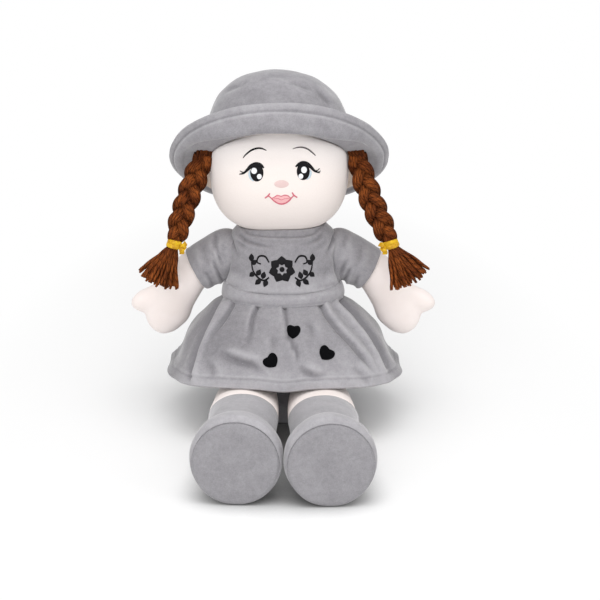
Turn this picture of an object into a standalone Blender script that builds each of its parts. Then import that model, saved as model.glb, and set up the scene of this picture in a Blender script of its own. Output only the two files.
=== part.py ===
"""A seated rag doll: a stuffed body with loose limbs, a pleated dress, plaits and a brimmed hat.

Metres, +Z up. The doll faces -Y and its left side is +X. The origin is the middle of its flat seat.
"""

import math

import bmesh
import bpy
import numpy as np
from mathutils import Matrix, Vector

MM = 0.001

# Clearances that the pieces share
GAP = 0.3 * MM
CLOTH_GAP = 0.4 * MM
NECK_GAP = 0.7 * MM
OVERRUN = 60 * MM
MERGE = 0.01 * MM
SMOOTH_ANGLE = math.radians(40)

# Torso: a stuffed bag that leans back from a flat seat
TORSO_HEIGHT = 182 * MM
TORSO_HALF_WIDTH = 57 * MM
TORSO_HALF_DEPTH = 46 * MM
TORSO_SETBACK = 25 * MM
TORSO_POWER = 2.3
TORSO_SIDES = 32
TORSO_TILT_SHARE = 0.3
# Height, half width and half depth of each section
TORSO_SHARES = (
    (0.0, 0.66, 0.66),
    (0.018, 0.82, 0.82),
    (0.07, 0.95, 0.95),
    (0.16, 1.0, 1.0),
    (0.30, 0.99, 1.0),
    (0.45, 0.93, 0.93),
    (0.60, 0.92, 0.85),
    (0.65, 0.905, 0.84),
    (0.70, 0.87, 0.82),
    (0.80, 0.84, 0.79),
    (0.90, 0.82, 0.74),
    (0.955, 0.76, 0.70),
    (1.0, 0.60, 0.62),
)

# Clothes that wrap the torso, from one share of its height to another
BODICE_THICKNESS = 2.4 * MM
BODICE_SHARES = (0.675, 0.967)
WAISTBAND_THICKNESS = 3.0 * MM
WAISTBAND_SHARES = (0.603, 0.672)
COLLAR_THICKNESS = 3.0 * MM
COLLAR_SHARES = (0.970, 1.012)

# Head: a soft ball, squarer than round, with the crown of the head raised under the hat
HEAD_RADIUS = 58.5 * MM
HEAD_HALF_WIDTH = 60.8 * MM
HEAD_POWER = 2.65
HEAD_SINK = 7.5 * MM
HEAD_SEGMENTS = 32
HEAD_RINGS = 16
CRANIUM_STRETCH = 1.22

# Hat: worn tilted back, with a crown in two panels, a rolled brim and a lining
HAT_TILT = math.radians(36)
HAT_SIDES = 30
HAT_CLOTH = 2.4 * MM
BRIM_SEAT = 9.4 * MM
CROWN_FOOT_RADIUS = 67.3 * MM
CROWN_HEIGHT = 84 * MM
# Radius and height of the top panel, from the middle to the panels' seam
CROWN_TOP_SHARES = ((0.0, 1.0), (0.238, 0.993), (0.475, 0.952), (0.624, 0.899), (0.743, 0.827))
CROWN_SEAM_SHARES = (0.825, 0.752)
# Radius and height of the side panel, from under the seam to above the brim
CROWN_SIDE_SHARES = ((0.869, 0.702), (0.933, 0.548), (0.970, 0.357))
BRIM_OUTER_RADIUS = 98 * MM
BRIM_UNDER = 0.9 * MM
BRIM_FLAT_SHARE = 0.845
BRIM_LIP = 1.8 * MM
BRIM_ROLL_DROP = 12.0 * MM
# How far round from the front the roll starts to fade, and how fast
BRIM_ROLL_FADE_SHARES = (-0.1, 0.65)
BRIM_EDGE_RISE = 7.4 * MM
BRIM_EDGE_FRONT_RISE = 2.8 * MM
# Radius, and height between the lowest and the highest line of the roll, of the roll's outer side
BRIM_ROLL_SHARES = ((0.893, 0.0), (0.929, 0.12), (0.964, 0.5), (0.993, 0.88), (1.0, 1.0))
# Radius, lift over the edge line and blend towards the crown's foot, of the roll's inner side
BRIM_INNER_SHARES = ((0.988, 1.0, 0.0), (0.955, 0.7, 0.0), (0.888, 0.0, 0.55), (0.776, 0.0, 1.0))
BRIM_EDGE_THICKNESS = 2.2 * MM
LINING_THICKNESS = 1.4 * MM
LINING_HEIGHT = 24 * MM
LINING_DROP = 1.2 * MM

# Shoulder joint, sleeve and arm
SHOULDER_SHARE = 0.832
SHOULDER_OUT = 4.4 * MM
SHOULDER_BACK = 5.2 * MM
SHOULDER_LOWEST = math.radians(-2)
SHOULDER_ROOM_STEPS = 6
SLEEVE_ANGLE = math.radians(26.6)
SLEEVE_RADIUS = 22.5 * MM
SLEEVE_LENGTH = 29 * MM
SLEEVE_THICKNESS = 2.4 * MM
SLEEVE_SIDES = 22
# Length and radius, from the hem back to the shoulder
SLEEVE_SHARES = ((1.0, 1.045), (0.62, 1.065), (0.28, 1.035))
SLEEVE_CAP_STEPS = 4
SLEEVE_HOLE_SHARE = 0.44
ARM_CLEARANCE = 1.5 * MM
ARM_REACH = 57 * MM
ARM_DROP = 78.5 * MM
ARM_HALF_WIDTH = 21.5 * MM
ARM_HALF_DEPTH = 17.6 * MM
ARM_SIDES = 16
ARM_BALL_STEPS = 4
# Reach, drop, half width and half depth from the elbow side of the sleeve to the fingertips
ARM_SHARES = (
    (0.246, 0.089, 0.865, 1.0),
    (0.449, 0.178, 0.851, 1.0),
    (0.570, 0.262, 0.860, 1.0),
    (0.668, 0.353, 0.905, 1.0),
    (0.825, 0.529, 0.970, 1.0),
    (0.912, 0.682, 1.0, 0.97),
    (0.965, 0.809, 0.86, 0.88),
    (0.991, 0.924, 0.558, 0.62),
    (1.0, 0.985, 0.16, 0.22),
)
THUMB_RADIUS = 11.5 * MM
THUMB_LENGTH = 17 * MM
THUMB_FOOT_SHARES = (1.018, 0.554)
THUMB_ANGLE = math.radians(12)

# Hip joint and leg: thigh, sock, shoe and sole on one line
HIP_FORWARD = 40 * MM
HIP_HALF_GAP = 4 * MM
HIP_HEIGHT = 34 * MM
THIGH_HALF_WIDTH = 27 * MM
THIGH_HALF_HEIGHT = 22 * MM
THIGH_LENGTH = 45.5 * MM
SOCK_THICKNESS = 0.8 * MM
SOCK_LENGTH = 76.7 * MM
LEG_SIDES = 24
HIP_BALL_STEPS = 5
# Length, half width and half height of the sock's sections, from its top to the ankle
SOCK_SHARES = (
    (0.0, 0.97, 0.97),
    (0.04, 1.0, 1.0),
    (0.30, 0.99, 1.04),
    (0.60, 0.965, 1.08),
    (0.90, 0.94, 1.09),
    (1.0, 0.91, 1.06),
)
SHOE_RADIUS = 37 * MM
SHOE_LENGTH = 24 * MM
SHOE_HALF_GAP = 1 * MM
SHOE_SIDES = 28
# Length and radius of the shoe, from the sole seam back to the ankle
SHOE_SHARES = (
    (1.0, 0.0),
    (1.0, 0.94),
    (0.95, 0.965),
    (0.83, 0.99),
    (0.60, 1.0),
    (0.30, 0.962),
    (0.14, 0.892),
    (0.05, 0.80),
    (0.0, 0.70),
    (0.0, 0.0),
)
SOLE_THICKNESS = 4.2 * MM
# Thickness and radius of the sole, from its domed face back to the seam
SOLE_SHARES = (
    (1.0, 0.0),
    (0.97, 0.35),
    (0.86, 0.70),
    (0.64, 0.905),
    (0.24, 0.955),
    (0.0, 0.94),
    (0.0, 0.0),
)

# Skirt: gathered at the waist in pleats, spread over the lap and round to the back
SKIRT_WAIST_SHARE = 0.60
SKIRT_THICKNESS = 2.0 * MM
SKIRT_HALF_WIDTH = 110 * MM
SKIRT_SETBACK = 7 * MM
SKIRT_FRONT_REACH = 106 * MM
SKIRT_BACK_REACH = 90 * MM
SKIRT_LEG_CLEARANCE = 2.4 * MM
SKIRT_SIDE_HEIGHT = 41 * MM
SKIRT_BACK_HEIGHT = 34 * MM
SKIRT_POWER = 2.6
PLEAT_COUNT = 14
PLEAT_SAMPLES = 5
PLEAT_WAIST_DEPTH = 1.5 * MM
PLEAT_HEM_DEPTH = 7 * MM
PLEAT_PHASE_SHARE = 0.35
# Drop and spread of the rows from the waist to the hem
SKIRT_ROW_SHARES = (
    (0.0, 0.0),
    (0.16, 0.238),
    (0.32, 0.452),
    (0.50, 0.650),
    (0.70, 0.812),
    (0.88, 0.938),
    (1.0, 1.0),
)

# Heart patches on the skirt: place round the hem, place down the skirt, and turn
HEART_HALF_WIDTH = 7 * MM
HEART_THICKNESS = 1.2 * MM
HEART_GAP = 0.6 * MM
HEART_POINTS = 20
# Waves that add up to the height of the heart's outline
HEART_WAVE_SHARES = (13 / 16, -5 / 16, -2 / 16, -1 / 16)
HEART_RINGS = 3
HEART_PLACE_SHARES = ((-0.010, 0.60), (0.015, 0.29), (0.053, 0.52))
HEART_TURNS = (math.radians(50), math.radians(-10), math.radians(-38))

# Plaits: three strands each, from under the hat's brim to a ribbon, with a tassel below it
PLAIT_ROOT_FORWARD = 22 * MM
PLAIT_ROOT_RISE = 9 * MM
PLAIT_OUT = 28.5 * MM
PLAIT_FORWARD = 13.5 * MM
PLAIT_DROP = 71 * MM
PLAIT_BOW = 3 * MM
PLAIT_TURN_LENGTH = 48 * MM
STRAND_RADIUS = 3.25 * MM
STRAND_SWAY = 8.0 * MM
STRAND_DEPTH_SWAY = 4.8 * MM
STRAND_CROSSING_EASE = 1.5
STRAND_POINTS = 22
STRAND_COUNT = 3
# Place along the plait and size of its section
PLAIT_SHARES = ((0.0, 0.60), (0.23, 1.0), (0.75, 0.94), (0.90, 0.86), (1.0, 0.50))
ROOT_GAP = 0.4 * MM
TIE_GAP = 1.3 * MM
TASSEL_NECK_RADIUS = 5.0 * MM
TASSEL_LENGTH = 36 * MM
TASSEL_HALF_WIDTH = 18 * MM
TASSEL_HALF_DEPTH = 9 * MM
TASSEL_FLUTES = 10
TASSEL_FLUTE_POINTS = 3
TASSEL_FLUTE_SHARE = 0.07
# Place along the tassel and blend from the neck to the full spread
TASSEL_SHARES = (
    (0.0, 0.0),
    (0.26, 0.02),
    (0.38, 0.26),
    (0.55, 0.58),
    (0.75, 0.86),
    (0.92, 1.0),
    (1.0, 0.93),
)
RIBBON_THICKNESS = 1.2 * MM
RIBBON_WIDTH = 7 * MM
RIBBON_SIDES = 16
KNOT_RADIUS = 3.4 * MM
KNOT_FLAT_SHARE = 0.5
KNOT_SIDES = 12
RIBBON_TAIL_LENGTH = 11 * MM
RIBBON_TAIL_WIDTH = 4.6 * MM
RIBBON_TAIL_ANGLES = (math.radians(12), math.radians(-22))
RIBBON_TAIL_SLOPE = math.radians(32)

# Colours and roughness of the cloths
CREAM = ((0.87, 0.80, 0.72), 0.9)
GREY_VELOUR = ((0.34, 0.33, 0.36), 0.85)
DARK_YARN = ((0.14, 0.05, 0.018), 0.8)
YELLOW_RIBBON = ((0.87, 0.52, 0.02), 0.55)
BLACK_FELT = ((0.012, 0.012, 0.014), 0.95)

PARTS = "rag_doll"
CUTTERS = "rag_doll_cutters"
SIDES = (("left", 1), ("right", -1))


# Scene helpers

def clear_scene():
    for item in list(bpy.data.objects):
        bpy.data.objects.remove(item, do_unlink=True)
    for name in (PARTS, CUTTERS):
        collection = bpy.data.collections.new(name)
        bpy.context.scene.collection.children.link(collection)


def cloth_material(name, finish):
    colour, roughness = finish
    material = bpy.data.materials.new(name)
    material.use_nodes = True
    shader = material.node_tree.nodes["Principled BSDF"]
    shader.inputs["Base Color"].default_value = (*colour, 1.0)
    shader.inputs["Roughness"].default_value = roughness
    shader.inputs["Metallic"].default_value = 0.0
    return material


def add_pivot(name, place):
    """An empty on a joint's axis, which carries the pieces that turn about it."""
    pivot = bpy.data.objects.new(name, None)
    pivot.location = place
    bpy.data.collections[PARTS].objects.link(pivot)
    return pivot


def add_part(name, data, finish, pivot=None, matrix=None):
    """Link a piece, give it its own material, and hang it on its joint's empty."""
    item = bpy.data.objects.new(name, data)
    bpy.data.collections[PARTS].objects.link(item)
    item.matrix_basis = matrix or Matrix.Identity(4)
    data.materials.append(cloth_material(name + "_cloth", finish))
    if pivot:
        item.parent = pivot
        item.matrix_parent_inverse = Matrix.Translation(pivot.location).inverted()
    return item


def add_cutter(name, mesh, matrix=None):
    item = bpy.data.objects.new(name, mesh)
    bpy.data.collections[CUTTERS].objects.link(item)
    item.matrix_basis = matrix or Matrix.Identity(4)
    item.hide_render = True
    item.display_type = "WIRE"
    return item


def combine(item, other, operation="DIFFERENCE"):
    boolean = item.modifiers.new(operation.lower() + "_" + other.name, "BOOLEAN")
    boolean.operation = operation
    boolean.solver = "EXACT"
    boolean.object = other


def finish_mesh(bm, name, outward=True):
    """Turn a bmesh into a smooth-shaded mesh, with its faces pointing out where it is closed."""
    if outward:
        bmesh.ops.recalc_face_normals(bm, faces=bm.faces)
    mesh = bpy.data.meshes.new(name)
    bm.to_mesh(mesh)
    bm.free()
    mesh.shade_smooth()
    mesh.set_sharp_from_angle(angle=SMOOTH_ANGLE)
    return mesh


# Shape helpers

def superellipse(angle, power):
    """Unit point at an angle counted from the front (-Y) towards +X."""
    across = math.sin(angle)
    along = -math.cos(angle)
    return (
        math.copysign(abs(across) ** (2 / power), across),
        math.copysign(abs(along) ** (2 / power), along),
    )


def loft(name, rings, capped=True, looped=False):
    """Join rings of equal count. The last ring meets the first where the loft is looped."""
    bm = bmesh.new()
    rows = [[bm.verts.new(point) for point in ring] for ring in rings]
    pairs = list(zip(rows, rows[1:]))
    if looped:
        pairs.append((rows[-1], rows[0]))
    for low, high in pairs:
        for index in range(len(low)):
            after = (index + 1) % len(low)
            bm.faces.new((low[index], low[after], high[after], high[index]))
    if capped and not looped:
        bm.faces.new(reversed(rows[0]))
        bm.faces.new(rows[-1])
    return finish_mesh(bm, name, outward=capped or looped)


def thicken(item, thickness, offset):
    solidify = item.modifiers.new("thickness", "SOLIDIFY")
    solidify.thickness = thickness
    solidify.offset = offset
    solidify.use_even_offset = True
    solidify.use_rim = True


def turned_mesh(name, profile, closed=False):
    """A profile of (radius, height) points at +X, for a Screw modifier about local Z."""
    bm = bmesh.new()
    verts = [bm.verts.new((radius, 0, height)) for radius, height in profile]
    for first, second in zip(verts, verts[1:]):
        bm.edges.new((first, second))
    if closed:
        bm.edges.new((verts[-1], verts[0]))
    mesh = bpy.data.meshes.new(name)
    bm.to_mesh(mesh)
    bm.free()
    return mesh


def turn(item, sides):
    screw = item.modifiers.new("turn", "SCREW")
    screw.steps = sides
    screw.render_steps = sides
    screw.use_merge_vertices = True
    screw.merge_threshold = MERGE
    screw.use_smooth_shade = True
    return item


def around(radius, sides):
    """Radius of a polygon whose flats lie on a circle, so that a faceted cutter keeps its clearance."""
    return radius / math.cos(math.pi / sides)


def frame_on(origin, axis, across):
    """Matrix with local Z along an axis and local X as near as can be to across."""
    up = Vector(axis).normalized()
    forward = up.cross(Vector(across)).normalized()
    side = forward.cross(up)
    matrix = Matrix((side, forward, up)).transposed().to_4x4()
    matrix.translation = origin
    return matrix


def sphere_mesh(name, radius, segments, rings, matrix=None):
    bm = bmesh.new()
    bmesh.ops.create_uvsphere(bm, u_segments=segments, v_segments=rings, radius=radius)
    if matrix:
        bmesh.ops.transform(bm, matrix=matrix, verts=bm.verts)
    return finish_mesh(bm, name)


# Places of the joints

def torso_centre(share):
    return Vector((0, TORSO_SETBACK * share, TORSO_HEIGHT * share))


def torso_size(share):
    heights, widths, depths = zip(*TORSO_SHARES)
    half_width = TORSO_HALF_WIDTH * np.interp(share, heights, widths)
    half_depth = TORSO_HALF_DEPTH * np.interp(share, heights, depths)
    return float(half_width), float(half_depth)


def head_centre():
    return torso_centre(1.0) + Vector((0, 0, HEAD_RADIUS - HEAD_SINK))


def shoulder_point(side):
    half_width, _ = torso_size(SHOULDER_SHARE)
    centre = torso_centre(SHOULDER_SHARE)
    return Vector((side * (half_width + SHOULDER_OUT), centre.y + SHOULDER_BACK, centre.z))


def hip_point(side):
    return Vector((side * (THIGH_HALF_WIDTH + HIP_HALF_GAP), -HIP_FORWARD, HIP_HEIGHT))


def shoe_start():
    return THIGH_LENGTH + CLOTH_GAP + SOCK_LENGTH + CLOTH_GAP


def leg_direction(side):
    """From the hip to the sole, so that the shoes rest on the ground and just clear each other."""
    splay = SHOE_RADIUS + SHOE_HALF_GAP - hip_point(1).x
    rise = SHOE_RADIUS + GAP - HIP_HEIGHT
    return Vector((side * splay, -shoe_start() - SHOE_LENGTH, rise)).normalized()


def leg_point(side, along):
    return hip_point(side) + leg_direction(side) * along


def head_side_reach(height):
    """Half width of the head at a distance from its left-right axis."""
    share = min(height / HEAD_RADIUS, 1.0)
    return HEAD_HALF_WIDTH * (1 - share ** HEAD_POWER) ** (1 / HEAD_POWER)


def plait_root(side):
    """Where the plait leaves the head, its strands just clear of the cheek."""
    distance = math.hypot(PLAIT_ROOT_FORWARD, PLAIT_ROOT_RISE)
    outermost = STRAND_SWAY * math.sin(math.tau / STRAND_COUNT) + STRAND_RADIUS
    half_root = outermost * PLAIT_SHARES[0][1]
    out = head_side_reach(distance) + half_root + ROOT_GAP
    centre = head_centre()
    return Vector((side * out, centre.y - PLAIT_ROOT_FORWARD, centre.z + PLAIT_ROOT_RISE))


# Torso and the clothes wrapped round it

def torso_ring(share, grow=0.0, sides=TORSO_SIDES):
    half_width, half_depth = torso_size(share)
    lean = math.atan2(TORSO_SETBACK, TORSO_HEIGHT) * min(share / TORSO_TILT_SHARE, 1.0)
    centre = torso_centre(share)
    ring = []
    for index in range(sides):
        across, along = superellipse(math.tau * index / sides, TORSO_POWER)
        depth = along * (half_depth + grow)
        offset = Vector((across * (half_width + grow), depth * math.cos(lean), -depth * math.sin(lean)))
        ring.append(centre + offset)
    return ring


def make_torso(cutters):
    rings = [torso_ring(share) for share, _, _ in TORSO_SHARES]
    torso = add_part("torso", loft("torso", rings), CREAM)
    for cutter in cutters:
        combine(torso, cutter)


def make_wrap(name, shares, thickness, finish, cutters):
    """A band of cloth round the torso between two shares of its height."""
    low, high = shares
    levels = [low] + [row[0] for row in TORSO_SHARES if low < row[0] < high] + [high]
    rings = [torso_ring(level, CLOTH_GAP) for level in levels]
    wrap = add_part(name, loft(name, rings, capped=False), finish)
    thicken(wrap, thickness, 1)
    for cutter in cutters:
        combine(wrap, cutter)


def make_leg_room():
    """Room in the torso's lower front for the thighs, through their whole swing."""
    reach = THIGH_HALF_HEIGHT + CLOTH_GAP
    hip = hip_point(1)
    bm = bmesh.new()
    bmesh.ops.create_cube(bm, size=1.0)
    depth = OVERRUN + reach
    scale = Matrix.Diagonal((4 * TORSO_HALF_WIDTH, depth, OVERRUN + hip.z, 1))
    place = Matrix.Translation((0, hip.y + reach - depth / 2, (hip.z - OVERRUN) / 2))
    bmesh.ops.transform(bm, matrix=place @ scale, verts=bm.verts)
    yield add_cutter("lap_cutter", finish_mesh(bm, "lap_cutter"))
    for label, side in SIDES:
        name = "hip_cutter_" + label
        widen = (THIGH_HALF_WIDTH + CLOTH_GAP) / reach
        matrix = Matrix.Diagonal((widen, 1, 1, 1)) @ Matrix.Rotation(math.pi / 2, 4, "Y")
        mesh = sphere_mesh(name, around(reach, LEG_SIDES), LEG_SIDES, LEG_SIDES // 2, matrix)
        yield add_cutter(name, mesh, Matrix.Translation(hip_point(side)))


# Head and hat

def head_mesh(name, grow=0.0):
    """A superellipsoid turned about the left-right axis, raised along the hat's axis."""
    bm = bmesh.new()
    quarter_turn = Matrix.Rotation(math.pi / 2, 4, "Y")
    bmesh.ops.create_uvsphere(
        bm, u_segments=HEAD_SEGMENTS, v_segments=HEAD_RINGS, radius=1, matrix=quarter_turn
    )
    up, _ = hat_axes()
    exponent = 2 / HEAD_POWER
    for vert in bm.verts:
        across = min(abs(vert.co.x), 1.0)
        round_share = math.hypot(vert.co.y, vert.co.z)
        scale = (HEAD_RADIUS + grow) * round_share ** (exponent - 1) if round_share > MERGE else 0.0
        width = math.copysign((HEAD_HALF_WIDTH + grow) * across ** exponent, vert.co.x)
        point = Vector((width, vert.co.y * scale, vert.co.z * scale))
        rise = max(point.dot(up), 0.0)
        vert.co = head_centre() + point + up * rise * (CRANIUM_STRETCH - 1)
    return finish_mesh(bm, name)


def hat_axes():
    up = Vector((0, math.sin(HAT_TILT), math.cos(HAT_TILT)))
    front = Vector((0, -math.cos(HAT_TILT), math.sin(HAT_TILT)))
    return up, front


def hat_matrix():
    up, _ = hat_axes()
    return frame_on(head_centre(), up, (1, 0, 0))


def make_band_room():
    """The hat's band presses the soft head in: all that lies outside the band is cut away."""
    top = CROWN_HEIGHT
    bottom = -LINING_DROP - CLOTH_GAP
    inner = HEAD_HALF_WIDTH - GAP
    profile = [(BRIM_OUTER_RADIUS, top), (BRIM_OUTER_RADIUS, bottom), (inner, bottom), (inner, top)]
    mesh = turned_mesh("band_cutter", profile, closed=True)
    return turn(add_cutter("band_cutter", mesh, hat_matrix()), HAT_SIDES)


def crown_points(shares):
    return [(radius * CROWN_FOOT_RADIUS, height * CROWN_HEIGHT) for radius, height in shares]


def make_crown(pivot):
    """A side panel from the seam to the brim, and a top panel that ends just short of the seam."""
    seam = crown_points([CROWN_SEAM_SHARES])
    side_profile = seam + crown_points(CROWN_SIDE_SHARES) + [(CROWN_FOOT_RADIUS, BRIM_SEAT)]
    make_panel("hat_crown_side", side_profile, pivot)
    top_profile = crown_points(CROWN_TOP_SHARES)
    edge = Vector(seam[0])
    inward = (Vector(top_profile[-1]) - edge).normalized()
    make_panel("hat_crown_top", top_profile + [tuple(edge + inward * CLOTH_GAP)], pivot)


def make_panel(name, profile, pivot):
    panel = add_part(name, turned_mesh(name, profile), GREY_VELOUR, pivot, hat_matrix())
    turn(panel, HAT_SIDES)
    thicken(panel, HAT_CLOTH, -1)


def brim_inner_radius():
    return CROWN_FOOT_RADIUS - HAT_CLOTH - CLOTH_GAP


def brim_section(angle):
    """Radius and height points round the brim's section, from the crown out and back."""
    front_share = math.cos(angle)
    fade_start, fade_length = BRIM_ROLL_FADE_SHARES
    fade = min(max((front_share - fade_start) / fade_length, 0.0), 1.0)
    low = -BRIM_ROLL_DROP * fade ** 2 * (3 - 2 * fade)
    edge = BRIM_EDGE_RISE + BRIM_EDGE_FRONT_RISE * front_share
    seat = BRIM_SEAT - GAP
    flat = BRIM_FLAT_SHARE * BRIM_OUTER_RADIUS
    section = [(brim_inner_radius(), BRIM_UNDER), (flat, BRIM_UNDER)]
    section.append((flat + BRIM_LIP, min(BRIM_UNDER, low + BRIM_LIP)))
    for radius, height in BRIM_ROLL_SHARES:
        section.append((radius * BRIM_OUTER_RADIUS, low + (edge - low) * height))
    for radius, lift, blend in BRIM_INNER_SHARES:
        height = (edge + lift * BRIM_EDGE_THICKNESS) * (1 - blend) + seat * blend
        section.append((radius * BRIM_OUTER_RADIUS, height))
    section.append((brim_inner_radius(), seat))
    return section


def make_brim(pivot):
    up, front = hat_axes()
    rings = []
    for index in range(HAT_SIDES):
        angle = math.tau * index / HAT_SIDES
        outward = front * math.cos(angle) + Vector((math.sin(angle), 0, 0))
        section = brim_section(angle)
        rings.append([head_centre() + outward * radius + up * height for radius, height in section])
    add_part("hat_brim", loft("hat_brim", rings, looped=True), GREY_VELOUR, pivot)


def make_lining(pivot):
    """A band inside the crown, with a flange that faces the brim's underside."""
    inner = HEAD_HALF_WIDTH + CLOTH_GAP
    under = -LINING_DROP
    flange = BRIM_FLAT_SHARE * BRIM_OUTER_RADIUS - CLOTH_GAP
    profile = [(inner, LINING_HEIGHT), (inner, under), (flange, under)]
    lining = add_part("hat_lining", turned_mesh("hat_lining", profile), CREAM, pivot, hat_matrix())
    turn(lining, HAT_SIDES)
    thicken(lining, LINING_THICKNESS, 1)


# Sleeves and arms

def sleeve_axis(side, raised=0.0):
    angle = SLEEVE_ANGLE - raised
    return Vector((side * math.cos(angle), 0, -math.sin(angle)))


def sleeve_profile():
    """Radius and length points from the hem to the hole at the shoulder's end."""
    profile = [(radius * SLEEVE_RADIUS, length * SLEEVE_LENGTH) for length, radius in SLEEVE_SHARES]
    return profile + ball_profile(SLEEVE_RADIUS, math.acos(SLEEVE_HOLE_SHARE), SLEEVE_CAP_STEPS)


def ball_profile(radius, last, steps):
    angles = [last * step / steps for step in range(steps + 1)]
    return [(radius * math.cos(angle), -radius * math.sin(angle)) for angle in angles]


def make_shoulder_room():
    """Room in the torso and the bodice for each sleeve, at rest and let down."""
    for label, side in SIDES:
        name = "shoulder_cutter_" + label
        widest = max(radius for _, radius in SLEEVE_SHARES) * SLEEVE_RADIUS
        tube = around(widest + CLOTH_GAP, SLEEVE_SIDES)
        ball = around(around(SLEEVE_RADIUS + CLOTH_GAP, SLEEVE_SIDES), 4 * SHOULDER_ROOM_STEPS)
        shoulder = SLEEVE_SHARES[-1][0] * SLEEVE_LENGTH
        profile = [(0, OVERRUN), (tube, OVERRUN), (tube, shoulder)]
        profile += ball_profile(ball, math.pi / 2, SHOULDER_ROOM_STEPS)
        matrix = frame_on(shoulder_point(side), sleeve_axis(side, SHOULDER_LOWEST), (0, 1, 0))
        cutter = turn(add_cutter(name, turned_mesh(name, profile), matrix), SLEEVE_SIDES)
        yield cutter


def make_sleeve(label, side, pivot):
    name = "sleeve_" + label
    matrix = frame_on(shoulder_point(side), sleeve_axis(side), (0, 1, 0))
    sleeve = add_part(name, turned_mesh(name, sleeve_profile()), GREY_VELOUR, pivot, matrix)
    turn(sleeve, SLEEVE_SIDES)
    thicken(sleeve, SLEEVE_THICKNESS, -1)


def arm_stations(side):
    """Centre, half width and half depth of each section from the shoulder ball to the fingertips."""
    shoulder = shoulder_point(side)
    axis = sleeve_axis(side)
    ball = SLEEVE_RADIUS - SLEEVE_THICKNESS - ARM_CLEARANCE
    stations = []
    for step in range(1, ARM_BALL_STEPS + 1):
        angle = math.pi / 2 * step / ARM_BALL_STEPS
        radius = ball * math.sin(angle)
        stations.append((shoulder - axis * ball * math.cos(angle), radius, min(radius, ARM_HALF_DEPTH)))
    for reach, drop, width, depth in ARM_SHARES:
        centre = shoulder + Vector((side * reach * ARM_REACH, 0, -drop * ARM_DROP))
        stations.append((centre, width * ARM_HALF_WIDTH, depth * ARM_HALF_DEPTH))
    return stations


def make_arm(label, side, pivot):
    stations = arm_stations(side)
    rings = []
    for index, (centre, half_width, half_depth) in enumerate(stations):
        before = stations[max(index - 1, 0)][0]
        after = stations[min(index + 1, len(stations) - 1)][0]
        along = (after - before).normalized()
        across = along.cross(Vector((0, 1, 0)))
        ring = []
        for corner in range(ARM_SIDES):
            angle = math.tau * corner / ARM_SIDES
            offset = across * half_width * math.cos(angle)
            offset.y += half_depth * math.sin(angle)
            ring.append(centre + offset)
        rings.append(ring)
    name = "arm_" + label
    arm = add_part(name, loft(name, rings), CREAM, pivot)
    combine(arm, make_thumb(label, side), "UNION")


def make_thumb(label, side):
    """A capsule that stands out from the hand's outer side, joined to it."""
    shoulder = shoulder_point(side)
    reach, drop = THUMB_FOOT_SHARES
    foot = shoulder + Vector((side * reach * ARM_REACH, 0, -drop * ARM_DROP))
    axis = Vector((side * math.cos(THUMB_ANGLE), 0, -math.sin(THUMB_ANGLE)))
    name = "thumb_" + label
    bm = bmesh.new()
    bmesh.ops.create_uvsphere(bm, u_segments=ARM_SIDES, v_segments=ARM_SIDES // 2, radius=THUMB_RADIUS)
    for vert in bm.verts:
        if vert.co.z > MERGE:
            vert.co.z += THUMB_LENGTH
    matrix = frame_on(foot, axis, (0, 1, 0))
    return add_cutter(name, finish_mesh(bm, name), matrix)


# Legs and shoes

def leg_ring(side, along, half_width, half_height):
    centre = leg_point(side, along)
    direction = leg_direction(side)
    across = direction.cross(Vector((0, 0, 1))).normalized()
    upward = across.cross(direction)
    ring = []
    for corner in range(LEG_SIDES):
        angle = math.tau * corner / LEG_SIDES
        offset = across * half_width * math.cos(angle) + upward * half_height * math.sin(angle)
        ring.append(centre + offset)
    return ring


def make_thigh(label, side, pivot):
    """A tube with a rounded end that turns in the torso's hollow."""
    rings = []
    for step in range(1, HIP_BALL_STEPS + 1):
        angle = math.pi / 2 * step / HIP_BALL_STEPS
        back = -THIGH_HALF_HEIGHT * math.cos(angle)
        swell = math.sin(angle)
        rings.append(leg_ring(side, back, THIGH_HALF_WIDTH * swell, THIGH_HALF_HEIGHT * swell))
    rings.append(leg_ring(side, THIGH_LENGTH, THIGH_HALF_WIDTH, THIGH_HALF_HEIGHT))
    name = "thigh_" + label
    add_part(name, loft(name, rings), CREAM, pivot)


def make_sock(label, side, pivot):
    start = THIGH_LENGTH + CLOTH_GAP
    half_width = THIGH_HALF_WIDTH + SOCK_THICKNESS
    half_height = THIGH_HALF_HEIGHT + SOCK_THICKNESS
    rings = []
    for length, width, height in SOCK_SHARES:
        along = start + length * SOCK_LENGTH
        rings.append(leg_ring(side, along, width * half_width, height * half_height))
    name = "sock_" + label
    add_part(name, loft(name, rings), GREY_VELOUR, pivot)


def make_shoe(label, side, pivot):
    profile = [(radius * SHOE_RADIUS, length * SHOE_LENGTH) for length, radius in SHOE_SHARES]
    add_turned_leg_piece("shoe_" + label, side, shoe_start(), profile, pivot)


def make_sole(label, side, pivot):
    profile = [(radius * SHOE_RADIUS, height * SOLE_THICKNESS) for height, radius in SOLE_SHARES]
    add_turned_leg_piece("sole_" + label, side, shoe_start() + SHOE_LENGTH + GAP, profile, pivot)


def add_turned_leg_piece(name, side, along, profile, pivot):
    matrix = frame_on(leg_point(side, along), leg_direction(side), (0, 0, 1))
    turn(add_part(name, turned_mesh(name, profile), GREY_VELOUR, pivot, matrix), SHOE_SIDES)


# Skirt and its heart patches

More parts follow.
